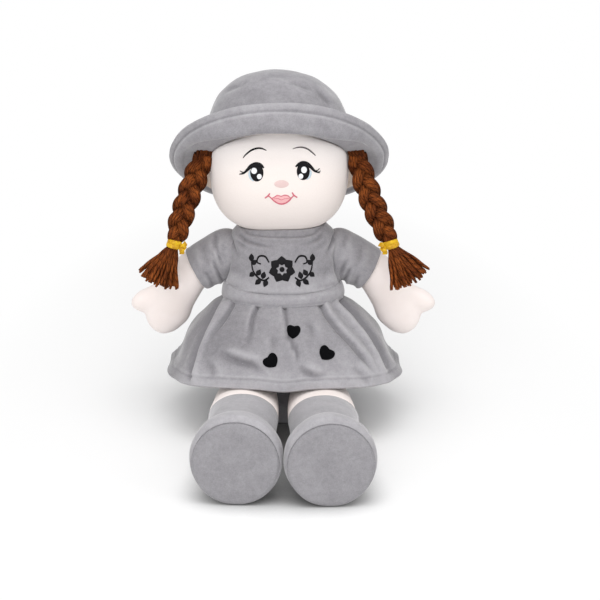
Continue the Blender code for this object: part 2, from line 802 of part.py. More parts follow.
def skirt_hem(angle):
    across, along = superellipse(angle, SKIRT_POWER)
    front = max(-along, 0.0)
    back = max(along, 0.0)
    front_height = HIP_HEIGHT + THIGH_HALF_HEIGHT + SKIRT_LEG_CLEARANCE
    height = SKIRT_SIDE_HEIGHT + (front_height - SKIRT_SIDE_HEIGHT) * front ** 2
    height += (SKIRT_BACK_HEIGHT - SKIRT_SIDE_HEIGHT) * back ** 2
    reach = SKIRT_BACK_REACH if along > 0 else SKIRT_FRONT_REACH
    middle = torso_centre(SKIRT_WAIST_SHARE).y + SKIRT_SETBACK
    return Vector((across * SKIRT_HALF_WIDTH, middle + along * reach, height))


def pleat_wave(turn_share):
    phase = math.tau * (turn_share * PLEAT_COUNT + PLEAT_PHASE_SHARE)
    return 0.5 + 0.5 * math.cos(phase)


def skirt_grid():
    """Rows of points from the waist to the hem, each row counted from the front towards +X."""
    columns = PLEAT_COUNT * PLEAT_SAMPLES
    waist = torso_ring(SKIRT_WAIST_SHARE, CLOTH_GAP + SKIRT_THICKNESS, columns)
    centre = torso_centre(SKIRT_WAIST_SHARE)
    rows = []
    for drop, spread in SKIRT_ROW_SHARES:
        row = []
        for index, top in enumerate(waist):
            turn_share = index / columns
            hem = skirt_hem(math.tau * turn_share)
            point = top.lerp(hem, spread)
            point.z = top.z + (hem.z - top.z) * drop
            outward = Vector((point.x - centre.x, point.y - centre.y, 0)).normalized()
            depth = PLEAT_WAIST_DEPTH + (PLEAT_HEM_DEPTH - PLEAT_WAIST_DEPTH) * spread
            row.append(point + outward * depth * (pleat_wave(turn_share) - drop))
        rows.append(row)
    return rows


def make_skirt(grid):
    skirt = add_part("skirt", loft("skirt", grid[::-1], capped=False), GREY_VELOUR)
    thicken(skirt, SKIRT_THICKNESS, -1)


def skirt_surface(grid, turn_share, row_share):
    """Point on the skirt's faceted surface between the grid's points."""
    columns = len(grid[0])
    across = (turn_share % 1.0) * columns
    down = row_share * (len(grid) - 1)
    column = int(across) % columns
    row = min(int(down), len(grid) - 2)
    side = across - int(across)
    fall = down - row
    upper = grid[row][column].lerp(grid[row][(column + 1) % columns], side)
    lower = grid[row + 1][column].lerp(grid[row + 1][(column + 1) % columns], side)
    return upper.lerp(lower, fall)


def heart_outline(index):
    """Point on a heart of unit half width, with its tip down."""
    angle = math.tau * index / HEART_POINTS
    waves = [share * math.cos(order * angle) for order, share in enumerate(HEART_WAVE_SHARES, 1)]
    return math.sin(angle) ** 3, sum(waves)


def heart_point(grid, place, turn_angle, across, rise):
    """Lay one point of the heart on the skirt, by the skirt's own slope at the heart's middle."""
    turn_share, row_share = place
    step = 1 / len(grid[0])
    middle = skirt_surface(grid, turn_share, row_share)
    across_rate = (skirt_surface(grid, turn_share + step, row_share) - middle).length / step
    down_rate = (skirt_surface(grid, turn_share, row_share + step) - middle).length / step
    right = (across * math.cos(turn_angle) - rise * math.sin(turn_angle)) * HEART_HALF_WIDTH
    up = (across * math.sin(turn_angle) + rise * math.cos(turn_angle)) * HEART_HALF_WIDTH
    turn_here = turn_share + right / across_rate
    row_here = row_share - up / down_rate
    point = skirt_surface(grid, turn_here, row_here)
    beside = skirt_surface(grid, turn_here + step, row_here) - point
    below = skirt_surface(grid, turn_here, row_here + step) - point
    return point + below.cross(beside).normalized() * HEART_GAP


def make_heart(number, grid, place, turn_angle):
    bm = bmesh.new()
    middle = bm.verts.new(heart_point(grid, place, turn_angle, 0, 0))
    rings = []
    for ring_number in range(1, HEART_RINGS + 1):
        scale = ring_number / HEART_RINGS
        ring = []
        for index in range(HEART_POINTS):
            across, rise = heart_outline(index)
            point = heart_point(grid, place, turn_angle, across * scale, rise * scale)
            ring.append(bm.verts.new(point))
        rings.append(ring)
    for index in range(HEART_POINTS):
        after = (index + 1) % HEART_POINTS
        bm.faces.new((middle, rings[0][after], rings[0][index]))
        for inner, outer in zip(rings, rings[1:]):
            bm.faces.new((inner[index], inner[after], outer[after], outer[index]))
    name = "heart_patch_" + str(number)
    heart = add_part(name, finish_mesh(bm, name, outward=False), BLACK_FELT)
    thicken(heart, HEART_THICKNESS, 1)


# Plaits

def plait_axes(side):
    """Direction down the plait, across it away from the head, towards the front, and its length."""
    down = Vector((side * PLAIT_OUT, -PLAIT_FORWARD, -PLAIT_DROP))
    along = down.normalized()
    across = along.cross(Vector((0, 1, 0))).normalized() * side
    return along, across, along.cross(across) * side, down.length


def crossing_wave(phase):
    """A sine with flatter tops, so that the strands pass each other level."""
    return math.tanh(STRAND_CROSSING_EASE * math.sin(phase)) / math.tanh(STRAND_CROSSING_EASE)


def strand_points(side, strand):
    along, across, forward, length = plait_axes(side)
    root = plait_root(side)
    places, sizes = zip(*PLAIT_SHARES)
    points = []
    for index in range(STRAND_POINTS):
        share = index / (STRAND_POINTS - 1)
        size = float(np.interp(share, places, sizes))
        phase = math.tau * (share * length / PLAIT_TURN_LENGTH + strand / STRAND_COUNT)
        sway = STRAND_SWAY * size * math.sin(phase) + PLAIT_BOW * math.sin(math.pi * share)
        depth = STRAND_DEPTH_SWAY * size * crossing_wave(2 * phase)
        points.append((root + along * length * share + across * sway + forward * depth, size))
    return points


def make_strand(name, side, strand, pivot):
    curve = bpy.data.curves.new(name, "CURVE")
    curve.dimensions = "3D"
    curve.bevel_depth = STRAND_RADIUS
    curve.bevel_resolution = 2
    curve.use_fill_caps = True
    spline = curve.splines.new("POLY")
    points = strand_points(side, strand)
    spline.points.add(len(points) - 1)
    for target, (place, size) in zip(spline.points, points):
        target.co = (*place, 1)
        target.radius = size
    add_part(name, curve, DARK_YARN, pivot)


def tie_point(side):
    along, _, _, length = plait_axes(side)
    return plait_root(side) + along * (length + TIE_GAP)


def make_tassel(label, side, pivot):
    along, across, forward, _ = plait_axes(side)
    points = TASSEL_FLUTES * TASSEL_FLUTE_POINTS
    rings = []
    for place, spread in TASSEL_SHARES:
        centre = tie_point(side) + along * place * TASSEL_LENGTH
        half_width = TASSEL_NECK_RADIUS + (TASSEL_HALF_WIDTH - TASSEL_NECK_RADIUS) * spread
        half_depth = TASSEL_NECK_RADIUS + (TASSEL_HALF_DEPTH - TASSEL_NECK_RADIUS) * spread
        ring = []
        for index in range(points):
            angle = math.tau * index / points
            flute = 1 - TASSEL_FLUTE_SHARE * spread * (0.5 - 0.5 * math.cos(angle * TASSEL_FLUTES))
            offset = across * half_width * math.cos(angle) + forward * half_depth * math.sin(angle)
            ring.append(centre + offset * flute)
        rings.append(ring)
    name = "tassel_" + label
    add_part(name, loft(name, rings), DARK_YARN, pivot)


def ribbon_radius():
    return TASSEL_NECK_RADIUS + CLOTH_GAP


def ribbon_middle():
    """Distance from the tassel's top to the middle of the ribbon round its neck."""
    return RIBBON_WIDTH / 2 + ROOT_GAP


def make_ribbon(label, side, pivot):
    along, across, _, _ = plait_axes(side)
    start = tie_point(side) + along * ribbon_middle()
    half = RIBBON_WIDTH / 2
    profile = [(ribbon_radius(), half), (ribbon_radius(), -half)]
    name = "ribbon_band_" + label
    matrix = frame_on(start, along, across)
    band = add_part(name, turned_mesh(name, profile), YELLOW_RIBBON, pivot, matrix)
    turn(band, RIBBON_SIDES)
    thicken(band, RIBBON_THICKNESS, 1)


def make_ribbon_knot(label, side, pivot):
    """A flat knot on the band's inner side, with two short tails."""
    along, across, _, _ = plait_axes(side)
    out = ribbon_radius() + RIBBON_THICKNESS + KNOT_RADIUS * KNOT_FLAT_SHARE + CLOTH_GAP
    centre = tie_point(side) + along * ribbon_middle() - across * out
    name = "ribbon_knot_" + label
    matrix = frame_on(centre, along, -across)
    shape = Matrix.Diagonal((KNOT_FLAT_SHARE, 1, 1, 1))
    mesh = sphere_mesh(name, KNOT_RADIUS, KNOT_SIDES, KNOT_SIDES // 2, shape)
    knot = add_part(name, mesh, YELLOW_RIBBON, pivot, matrix)
    for number, angle in enumerate(RIBBON_TAIL_ANGLES):
        combine(knot, ribbon_tail(name + "_tail_" + str(number), matrix, angle), "UNION")


def ribbon_tail(name, matrix, angle):
    bm = bmesh.new()
    bmesh.ops.create_cube(bm, size=1.0)
    bmesh.ops.translate(bm, vec=(0, 0, 0.5), verts=bm.verts)
    scale = Matrix.Diagonal((RIBBON_THICKNESS, RIBBON_TAIL_WIDTH, RIBBON_TAIL_LENGTH, 1))
    lean = Matrix.Rotation(RIBBON_TAIL_SLOPE, 4, "Y") @ Matrix.Rotation(angle, 4, "X")
    bmesh.ops.transform(bm, matrix=lean @ scale, verts=bm.verts)
    return add_cutter(name, finish_mesh(bm, name), matrix)


# Assembly

def make_body(grid):
    shoulder_room = list(make_shoulder_room())
    neck_room = add_cutter("neck_cutter", head_mesh("neck_cutter", NECK_GAP))
    make_torso(list(make_leg_room()) + shoulder_room + [neck_room])
    make_wrap("bodice", BODICE_SHARES, BODICE_THICKNESS, GREY_VELOUR, shoulder_room)
    make_wrap("waistband", WAISTBAND_SHARES, WAISTBAND_THICKNESS, GREY_VELOUR, [])
    make_wrap("collar", COLLAR_SHARES, COLLAR_THICKNESS, GREY_VELOUR, [neck_room])
    make_skirt(grid)
    for number, (place, turn_angle) in enumerate(zip(HEART_PLACE_SHARES, HEART_TURNS), 1):
        make_heart(number, grid, place, turn_angle)


def make_head():
    pivot = add_pivot("head_pivot", head_centre())
    head = add_part("head", head_mesh("head"), CREAM, pivot)
    combine(head, make_band_room())
    make_brim(pivot)
    make_crown(pivot)
    make_lining(pivot)


def make_plait(label, side):
    pivot = add_pivot("plait_pivot_" + label, plait_root(side))
    for strand, letter in enumerate("abc"):
        make_strand("plait_strand_" + letter + "_" + label, side, strand, pivot)
    make_tassel(label, side, pivot)
    make_ribbon(label, side, pivot)
    make_ribbon_knot(label, side, pivot)


def make_limbs(label, side):
    shoulder = add_pivot("shoulder_pivot_" + label, shoulder_point(side))
    make_sleeve(label, side, shoulder)
    make_arm(label, side, shoulder)
    hip = add_pivot("hip_pivot_" + label, hip_point(side))
    make_thigh(label, side, hip)
    make_sock(label, side, hip)
    make_shoe(label, side, hip)
    make_sole(label, side, hip)


def main():
    clear_scene()
    make_body(skirt_grid())
    make_head()
    for label, side in SIDES:
        make_plait(label, side)
        make_limbs(label, side)


main()
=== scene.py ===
"""The seated rag doll in its real cloths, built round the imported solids.

Metres, +Z up. The doll faces -Y and its left side is +X.
"""

import math

import bmesh
import bpy
import numpy as np
from mathutils import Matrix, Vector, noise
from mathutils.bvhtree import BVHTree


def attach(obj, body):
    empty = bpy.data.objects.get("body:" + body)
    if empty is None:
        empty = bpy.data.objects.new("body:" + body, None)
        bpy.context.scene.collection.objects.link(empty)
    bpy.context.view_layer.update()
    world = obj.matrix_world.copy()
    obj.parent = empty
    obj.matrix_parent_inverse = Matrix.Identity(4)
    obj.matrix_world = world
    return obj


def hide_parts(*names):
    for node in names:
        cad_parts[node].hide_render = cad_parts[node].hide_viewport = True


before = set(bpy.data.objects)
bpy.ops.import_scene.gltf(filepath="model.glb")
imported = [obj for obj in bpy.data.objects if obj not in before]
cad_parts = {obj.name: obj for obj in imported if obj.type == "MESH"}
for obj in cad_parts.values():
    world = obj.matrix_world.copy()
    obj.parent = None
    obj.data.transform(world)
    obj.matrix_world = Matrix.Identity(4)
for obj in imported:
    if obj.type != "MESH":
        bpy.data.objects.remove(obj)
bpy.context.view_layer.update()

MM = 0.001
SIDES = (("left", 1), ("right", -1))

# Camera, and the photograph's frame that the flat drawings are placed by
PICTURE_PX = 600
FOCAL_PX = 1368
MIDDLE_PX = 283.2
SENSOR_MM = 36
EYE = Vector((0, -1188 * MM, 477 * MM))
PITCH = math.radians(17)

# Torso
TORSO_HEIGHT = 182 * MM
TORSO_HALF_WIDTH = 57 * MM
TORSO_HALF_DEPTH = 46 * MM
TORSO_SETBACK = 25 * MM
TORSO_POWER = 2.3
TORSO_TILT_SHARE = 0.3
# Height, half width and half depth of each section
TORSO_SHARES = (
    (0.0, 0.66, 0.66),
    (0.018, 0.82, 0.82),
    (0.07, 0.95, 0.95),
    (0.16, 1.0, 1.0),
    (0.30, 0.99, 1.0),
    (0.45, 0.93, 0.93),
    (0.60, 0.92, 0.85),
    (0.65, 0.905, 0.84),
    (0.70, 0.87, 0.82),
    (0.80, 0.84, 0.79),
    (0.90, 0.82, 0.74),
    (0.955, 0.76, 0.70),
    (1.0, 0.60, 0.62),
)
NECK_DIP = 5.2 * MM
NECK_DIP_SHARE = 0.9
NECK_GAP = 0.7 * MM
LAP_FRONT = -17 * MM
LAP_TOP = 52 * MM
LAP_EASE = 22 * MM
TORSO_CLOTH_TOP = 116 * MM

# Head
HEAD_CENTRE = Vector((-3.6 * MM, 25 * MM, 233 * MM))
HEAD_RADIUS = 60.2 * MM
HEAD_HALF_WIDTH = 62.3 * MM
HEAD_HAT_RADIUS = 60.2 * MM
HEAD_POWER = 2.65
CRANIUM_STRETCH = 1.2
HEAD_NARROWING = 5 * MM

# Hat
HAT_TILT = math.radians(36)
CROWN_FOOT_RADIUS = 68.0 * MM
CROWN_SHIFT = -0.9 * MM
CROWN_TOP_LEAN = -1.2 * MM
CROWN_HEIGHT = 83 * MM
# Painted shade over the crown, from its top down to its foot
CROWN_PAINTED_SHADE = (-0.35, -0.3, -0.3, -0.3)
CROWN_SHARES = (
    (0.0, 1.0),
    (0.12, 0.999),
    (0.238, 0.992),
    (0.36, 0.977),
    (0.475, 0.952),
    (0.624, 0.899),
    (0.743, 0.827),
    (0.825, 0.752),
    (0.869, 0.690),
    (0.905, 0.62),
    (0.933, 0.548),
    (0.955, 0.45),
    (0.970, 0.357),
    (0.985, 0.23),
    (1.0, 0.11),
)
BRIM_SEAT = 9.4 * MM
BRIM_OUTER_RADIUS = 98.8 * MM
BRIM_UNDER = 0.9 * MM
BRIM_FLAT_SHARE = 0.845
BRIM_LIP = 1.8 * MM
BRIM_ROLL_DROP = 10.6 * MM
BRIM_ROLL_FADE_SHARES = (0.42, 0.56)
BRIM_EDGE_RISE = 7.4 * MM
BRIM_EDGE_FRONT_RISE = 2.8 * MM
BRIM_ROLL_SHARES = ((0.893, 0.0), (0.929, 0.12), (0.964, 0.5), (0.993, 0.88), (1.0, 1.0))
BRIM_INNER_SHARES = ((0.988, 1.0, 0.0), (0.955, 0.7, 0.0), (0.888, 0.0, 0.55), (0.776, 0.0, 1.0))
BRIM_EDGE_THICKNESS = 2.2 * MM
BRIM_INNER_RADIUS = 64.5 * MM


# Camera model

def pixel_of(points):
    """Pixels of points in the photograph's frame, for an array of any shape ending in three."""
    relative = np.asarray(points, float) - np.array(EYE)
    sine, cosine = math.sin(PITCH), math.cos(PITCH)
    depth = relative[..., 1] * cosine - relative[..., 2] * sine
    rise = relative[..., 1] * sine + relative[..., 2] * cosine
    across = MIDDLE_PX + FOCAL_PX * relative[..., 0] / depth
    return np.stack((across, PICTURE_PX / 2 - FOCAL_PX * rise / depth), axis=-1)


def pixel_ray(spot):
    across = (spot[0] - MIDDLE_PX) / FOCAL_PX
    rise = (PICTURE_PX / 2 - spot[1]) / FOCAL_PX
    sine, cosine = math.sin(PITCH), math.cos(PITCH)
    return Vector((across, cosine + rise * sine, -sine + rise * cosine)).normalized()


# Shape helpers

def spline(points, count, closed=False):
    """Evenly stepped points on a smooth curve through the given ones."""
    given = np.array(points, float)
    total = len(given)
    spans = total if closed else total - 1
    steps = count if closed else count - 1
    made = []
    for index in range(count):
        place = spans * index / steps
        start = min(int(place), spans - 1)
        share = place - start
        if closed:
            before, first, second, after = (given[(start + step) % total] for step in (-1, 0, 1, 2))
        else:
            chosen = [min(max(start + step, 0), total - 1) for step in (-1, 0, 1, 2)]
            before, first, second, after = given[chosen]
        cubic = 3 * first - before - 3 * second + after
        square = 2 * before - 5 * first + 4 * second - after
        made.append(first + 0.5 * share * ((second - before) + share * (square + share * cubic)))
    return np.array(made)


def unit(vectors):
    lengths = np.linalg.norm(vectors, axis=-1, keepdims=True)
    return vectors / np.maximum(lengths, 1e-12)


def grid_normals(grid, centre):
    """Outward normals of a closed row-by-row surface, away from a centre line or point."""
    down = np.gradient(grid, axis=0)
    across = (np.roll(grid, -1, axis=1) - np.roll(grid, 1, axis=1)) / 2
    normals = unit(np.cross(across, down))
    if np.sum(normals * (grid - centre)) < 0:
        normals = -normals
    return normals


def noise_field(points, size, seed):
    """Smooth noise from -1 to 1 at each point, with lumps of about the given size."""
    shape = points.shape[:-1]
    shift = Vector((seed * 7.3, seed * 3.1, seed * 5.7))
    values = [noise.noise(Vector(point) / size + shift) for point in points.reshape(-1, 3)]
    return np.array(values).reshape(shape)


def fold_depths(points, folds):
    """How far folds drawn over the front view lift or sink the surface at each point."""
    spots = pixel_of(points)
    shape = spots.shape[:-1]
    spots = spots.reshape(-1, 2)
    total = np.zeros(len(spots))
    for line, width, depth, ridge, (start_fade, end_fade) in folds:
        corners = np.array(line, float)
        lengths = np.linalg.norm(np.diff(corners, axis=0), axis=1)
        nearest = np.full(len(spots), np.inf)
        signed = np.zeros(len(spots))
        share = np.zeros(len(spots))
        done = 0.0
        for first, second, length in zip(corners, corners[1:], lengths):
            along = np.clip((spots - first) @ (second - first) / length ** 2, 0, 1)
            away = spots - (first + along[:, None] * (second - first))
            distance = np.linalg.norm(away, axis=1)
            turn = (second - first)[0] * away[:, 1] - (second - first)[1] * away[:, 0]
            closer = distance < nearest
            nearest = np.where(closer, distance, nearest)
            signed = np.where(closer, np.sign(turn) * distance, signed)
            share = np.where(closer, (done + along * length) / lengths.sum(), share)
            done += length
        fade = np.ones(len(spots))
        if start_fade:
            fade *= np.clip(share / start_fade, 0, 1)
        if end_fade:
            fade *= np.clip((1 - share) / end_fade, 0, 1)
        valley = depth * np.exp(-((nearest / width) ** 2))
        hill = abs(ridge) * np.exp(-(((signed * np.sign(ridge) - 1.9 * width) / (1.3 * width)) ** 2))
        total += fade * (hill - valley) * MM
    return total.reshape(shape)


def link(name, mesh, body, material, replaces=(), levels=0):
    """A new smooth-shaded piece that rides on a body and stands for the named nodes."""
    piece = bpy.data.objects.new(name, mesh)
    bpy.context.scene.collection.objects.link(piece)
    mesh.shade_smooth()
    mesh.materials.append(material)
    if levels:
        subdivide(piece, levels)
    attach(piece, body)
    if replaces:
        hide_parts(*replaces)
    return piece


def subdivide(piece, levels):
    subdivision = piece.modifiers.new("rounding", "SUBSURF")
    subdivision.levels = levels
    subdivision.render_levels = levels


def closed_mesh(bm, name):
    bmesh.ops.recalc_face_normals(bm, faces=bm.faces)
    mesh = bpy.data.meshes.new(name)
    bm.to_mesh(mesh)
    bm.free()
    return mesh


def rows_into(bm, rows, wrap=True, capped=True, looped=False):
    """Add a skin over rows of points, closed round each row where it wraps."""
    made = [[bm.verts.new(point) for point in row] for row in rows]
    width = len(made[0])
    pairs = list(zip(made, made[1:]))
    if looped:
        pairs.append((made[-1], made[0]))
    for low, high in pairs:
        for index in range(width if wrap else width - 1):
            after = (index + 1) % width
            bm.faces.new((low[index], low[after], high[after], high[index]))
    if capped and not looped:
        bm.faces.new(made[0][::-1])
        bm.faces.new(made[-1])


def skin(name, rows, wrap=True, capped=True, looped=False, painted_shade=None):
    """A closed mesh over rows of points. Its painted shade gives one value for each of the first
    points: painted shade below zero, painted light above.
    """
    bm = bmesh.new()
    rows_into(bm, rows, wrap, capped, looped)
    mesh = closed_mesh(bm, name)
    if painted_shade is not None:
        values = np.zeros(len(mesh.vertices))
        values[:painted_shade.size] = painted_shade.ravel()
        attribute = mesh.attributes.new("painted_shade", "FLOAT", "POINT")
        attribute.data.foreach_set("value", values)
    return mesh


def shell_rows(outer, inner):
    """Rows that go down the outside of a cloth and back up its inside, for a looped skin."""
    return list(outer) + list(inner[::-1])


def tree_of(piece):
    """The finished surface of a piece, for casting rays onto."""
    bpy.context.view_layer.update()
    shown = piece.evaluated_get(bpy.context.evaluated_depsgraph_get())
    mesh = shown.to_mesh()
    corners = [piece.matrix_world @ vertex.co for vertex in mesh.vertices]
    faces = [tuple(face.vertices) for face in mesh.polygons]
    shown.to_mesh_clear()
    return BVHTree.FromPolygons(corners, faces)


def on_surface(tree, spot):
    """Point and outward normal where the photograph's pixel meets a surface."""
    ray = pixel_ray(spot)
    point, normal, _, _ = tree.ray_cast(EYE, ray)
    if point is None:
        raise ValueError("no surface at pixel %.1f %.1f" % tuple(spot))
    return point, -normal if normal.dot(ray) > 0 else normal


def bake(piece):
    """Apply the piece's modifiers to its mesh."""
    bpy.context.view_layer.update()
    graph = bpy.context.evaluated_depsgraph_get()
    mesh = bpy.data.meshes.new_from_object(piece.evaluated_get(graph))
    piece.modifiers.clear()
    piece.data = mesh
    mesh.shade_smooth()


# Materials, with the depth of each one's surface relief

PILE_BUMP = 0.4 * MM
PATCH_BUMP = 0.8 * MM
PLUSH_BUMP = 0.3 * MM
WEAVE_BUMP = 0.2 * MM
STITCH_BUMP = 0.15 * MM
YARN_BUMP = 0.4 * MM
RIBBON_BUMP = 0.2 * MM


class Nodes:
    """A short way to write a material's nodes."""

    def __init__(self, name):
        self.material = bpy.data.materials.new(name)
        self.material.use_nodes = True
        self.tree = self.material.node_tree
        self.shader = self.tree.nodes["Principled BSDF"]
        self.place = self.add("ShaderNodeTexCoord").outputs["Object"]

    def add(self, kind, **settings):
        node = self.tree.nodes.new(kind)
        for key, value in settings.items():
            setattr(node, key, value)
        return node

    def join(self, output, socket):
        self.tree.links.new(output, socket)

    def noise(self, scale, detail=2.0, rough=0.5, vector=None):
        node = self.add("ShaderNodeTexNoise")
        node.inputs["Scale"].default_value = scale
        node.inputs["Detail"].default_value = detail
        node.inputs["Roughness"].default_value = rough
        self.join(vector or self.place, node.inputs["Vector"])
        return node.outputs["Fac"]

    def spread(self, value, low, high, to_low=0.0, to_high=1.0):
        node = self.add("ShaderNodeMapRange")
        settings = {"From Min": low, "From Max": high, "To Min": to_low, "To Max": to_high}
        for key, number in settings.items():
            node.inputs[key].default_value = number
        self.join(value, node.inputs["Value"])
        return node.outputs["Result"]

    def math(self, operation, first, second=None):
        node = self.add("ShaderNodeMath", operation=operation)
        for socket, value in zip(node.inputs, (first, second)):
            if isinstance(value, (int, float)):
                socket.default_value = value
            elif value is not None:
                self.join(value, socket)
        return node.outputs[0]

    def mix(self, share, first, second):
        node = self.add("ShaderNodeMix", data_type="RGBA")
        sockets = [node.inputs[index] for index in (0, 6, 7)]
        for socket, value in zip(sockets, (share, first, second)):
            if isinstance(value, bpy.types.NodeSocket):
                self.join(value, socket)
            else:
                socket.default_value = value if isinstance(value, float) else (*value, 1.0)
        return node.outputs[2]

    def bump(self, height, strength, distance, before=None):
        node = self.add("ShaderNodeBump")
        node.inputs["Strength"].default_value = strength
        node.inputs["Distance"].default_value = distance
        self.join(height, node.inputs["Height"])
        if before:
            self.join(before, node.inputs["Normal"])
        return node.outputs["Normal"]

    def finish(self, colour, normal, roughness, **settings):
        self.join(colour, self.shader.inputs["Base Color"])
        self.join(normal, self.shader.inputs["Normal"])
        self.shader.inputs["Roughness"].default_value = roughness
        for key, value in settings.items():
            self.shader.inputs[key.replace("_", " ")].default_value = value
        return self.material


def velour(name, dark, light, patch=55, sheen=0.55, gloss=0.15):
    """Short pile that lies in patches, some brushed light and some dark, with painted shade in fold
    valleys and painted light on ridges and panels, read from the mesh.
    """
    n = Nodes(name)
    brushed = n.noise(patch, detail=3.0, rough=0.6)
    middle = n.noise(patch * 4.2, detail=3.0, rough=0.65)
    tuft = n.noise(1100, detail=2.0, rough=0.7)
    both = n.spread(brushed, 0.3, 0.7, -0.12, 0.12)
    both = n.math("ADD", both, n.spread(middle, 0.3, 0.7, -0.13, 0.13))
    # Painted light and shade for each point, carried by the mesh
    painted_shade = n.add("ShaderNodeAttribute", attribute_name="painted_shade").outputs["Fac"]
    pile = n.math("ADD", both, n.spread(tuft, 0.3, 0.7, 0.36, 0.64))
    shade = n.math("ADD", pile, n.math("MULTIPLY", painted_shade, 0.5))
    colour = n.mix(shade, dark, light)
    pits = n.bump(tuft, 0.4, PILE_BUMP)
    normal = n.bump(middle, 0.3, PATCH_BUMP, pits)
    finish = {"Sheen_Weight": sheen, "Sheen_Roughness": 0.4, "Specular_IOR_Level": gloss}
    return n.finish(colour, normal, 0.95, **finish)


PLUSH_FINISH = {"Sheen_Weight": 0.12, "Sheen_Roughness": 0.5, "Specular_IOR_Level": 0.15}


def plush(name, dark, light):
    """Close short plush, nearly smooth, with a faint fleck."""
    n = Nodes(name)
    tuft = n.noise(1900, detail=2.0, rough=0.7)
    soft = n.noise(38, detail=2.0)
    shade = n.math("ADD", n.spread(soft, 0.35, 0.65), n.spread(tuft, 0.3, 0.7, -0.25, 0.25))
    colour = n.mix(shade, dark, light)
    normal = n.bump(tuft, 0.22, PLUSH_BUMP)
    return n.finish(colour, normal, 0.9, **PLUSH_FINISH)


def weave(name, dark, light, pitch=0.7 * MM):
    """Plain weave, with threads that cross."""
    n = Nodes(name)
    split = n.add("ShaderNodeSeparateXYZ")
    n.join(n.place, split.inputs[0])
    turns = math.tau / pitch
    waves = [n.math("SINE", n.math("MULTIPLY", split.outputs[axis], turns)) for axis in (0, 2)]
    threads = n.math("MULTIPLY", *waves)
    fade = n.noise(60, detail=3.0)
    shade = n.math("ADD", n.spread(fade, 0.35, 0.65), n.spread(threads, -1, 1, -0.2, 0.2))
    normal = n.bump(threads, 0.3, WEAVE_BUMP)
    return n.finish(n.mix(shade, dark, light), normal, 0.9, Sheen_Weight=0.15, Specular_IOR_Level=0.2)


def thread(name, dark, light, gloss=0.3, lean=(1.0, 0.0, 0.6), pitch=0.55 * MM):
    """Satin stitch: fine threads that lie side by side on a slant."""
    n = Nodes(name)
    wave = n.add("ShaderNodeTexWave", wave_type="BANDS", bands_direction="X")
    wave.inputs["Scale"].default_value = math.tau / (20 * pitch)
    wave.inputs["Distortion"].default_value = 0.6
    wave.inputs["Detail"].default_value = 1.0
    turn = n.add("ShaderNodeMapping")
    turn.inputs["Rotation"].default_value = lean
    n.join(n.place, turn.inputs["Vector"])
    n.join(turn.outputs["Vector"], wave.inputs["Vector"])
    height = wave.outputs["Fac"]
    normal = n.bump(height, 0.35, STITCH_BUMP)
    return n.finish(n.mix(height, dark, light), normal, 0.5, Sheen_Weight=0.0, Specular_IOR_Level=gloss)


def yarn(name, dark, middle, light, ply=6.5 * MM):
    """Wool of twisted plies. The mesh's map runs round the yarn and along it in metres."""
    n = Nodes(name)
    chart = n.add("ShaderNodeUVMap", uv_map="wound").outputs["UV"]
    split = n.add("ShaderNodeSeparateXYZ")
    n.join(chart, split.inputs[0])
    along = n.math("MULTIPLY", split.outputs[1], 1 / ply)
    turn = n.math("ADD", n.math("MULTIPLY", split.outputs[0], 2.0), along)
    plies = n.math("ABSOLUTE", n.math("SINE", n.math("MULTIPLY", turn, math.pi)))
    fleck = n.noise(900, detail=3.0, rough=0.7)
    fade = n.noise(90, detail=2.0)
    inner = n.mix(n.spread(fade, 0.35, 0.65), middle, light)
    # Random tone and painted shade, per point, carried by the mesh
    tone_and_painted_shade = n.add("ShaderNodeAttribute", attribute_name="tone_and_painted_shade").outputs["Fac"]
    shade = n.spread(plies, 0.0, 0.6, 0.15, 1.0)
    shade = n.math("MULTIPLY", shade, n.spread(fleck, 0.3, 0.6, 0.55, 1.0))
    shade = n.math("MULTIPLY", shade, tone_and_painted_shade)
    normal = n.bump(plies, 0.4, YARN_BUMP, n.bump(fleck, 0.5, YARN_BUMP))
    return n.finish(n.mix(shade, dark, inner), normal, 0.8, Sheen_Weight=0.0, Specular_IOR_Level=0.1)


def ribbon_cloth(name, dark, light):
    n = Nodes(name)
    grain = n.noise(1300, detail=2.0, rough=0.6)
    fade = n.noise(260, detail=2.0)
    shade = n.math("ADD", n.spread(fade, 0.35, 0.65), n.spread(grain, 0.3, 0.7, -0.3, 0.3))
    normal = n.bump(grain, 0.3, RIBBON_BUMP)
    return n.finish(n.mix(shade, dark, light), normal, 0.5, Sheen_Weight=0.0, Specular_IOR_Level=0.35)


GREY = velour("grey_velour", (0.215, 0.207, 0.222), (0.43, 0.418, 0.438))
# A darker copy of the grey velour for the soles: painted shade
GREY_SOLE_PAINTED_SHADE = velour("grey_velour_sole_painted_shade", (0.186, 0.18, 0.192), (0.36, 0.35, 0.368), patch=70)
CREAM = plush("cream_plush", (0.875, 0.79, 0.755), (0.93, 0.85, 0.82))
LINING = weave("lining_cloth", (0.56, 0.45, 0.37), (0.68, 0.57, 0.49))
WOOL = yarn("brown_wool", (0.010, 0.0025, 0.001), (0.17, 0.040, 0.009), (0.33, 0.088, 0.018))
RIBBON = ribbon_cloth("yellow_ribbon", (0.47, 0.23, 0.002), (0.74, 0.46, 0.006))
FELT = velour(
    "black_felt", (0.0015, 0.0015, 0.002), (0.006, 0.006, 0.007), patch=200, sheen=0.0, gloss=0.04,
)
BLACK = thread("black_thread", (0.002, 0.002, 0.003), (0.010, 0.009, 0.011), gloss=0.12)
BROW_GREY = thread("grey_thread", (0.06, 0.05, 0.05), (0.12, 0.10, 0.10))
WHITE = thread("white_thread", (0.82, 0.84, 0.86), (0.92, 0.93, 0.95))
BLUE = thread("pale_blue_thread", (0.46, 0.56, 0.63), (0.62, 0.71, 0.77))
NOSE = thread("pale_pink_thread", (0.72, 0.52, 0.50), (0.80, 0.62, 0.60))
ROSE = thread("rose_thread", (0.54, 0.115, 0.16), (0.70, 0.20, 0.25))
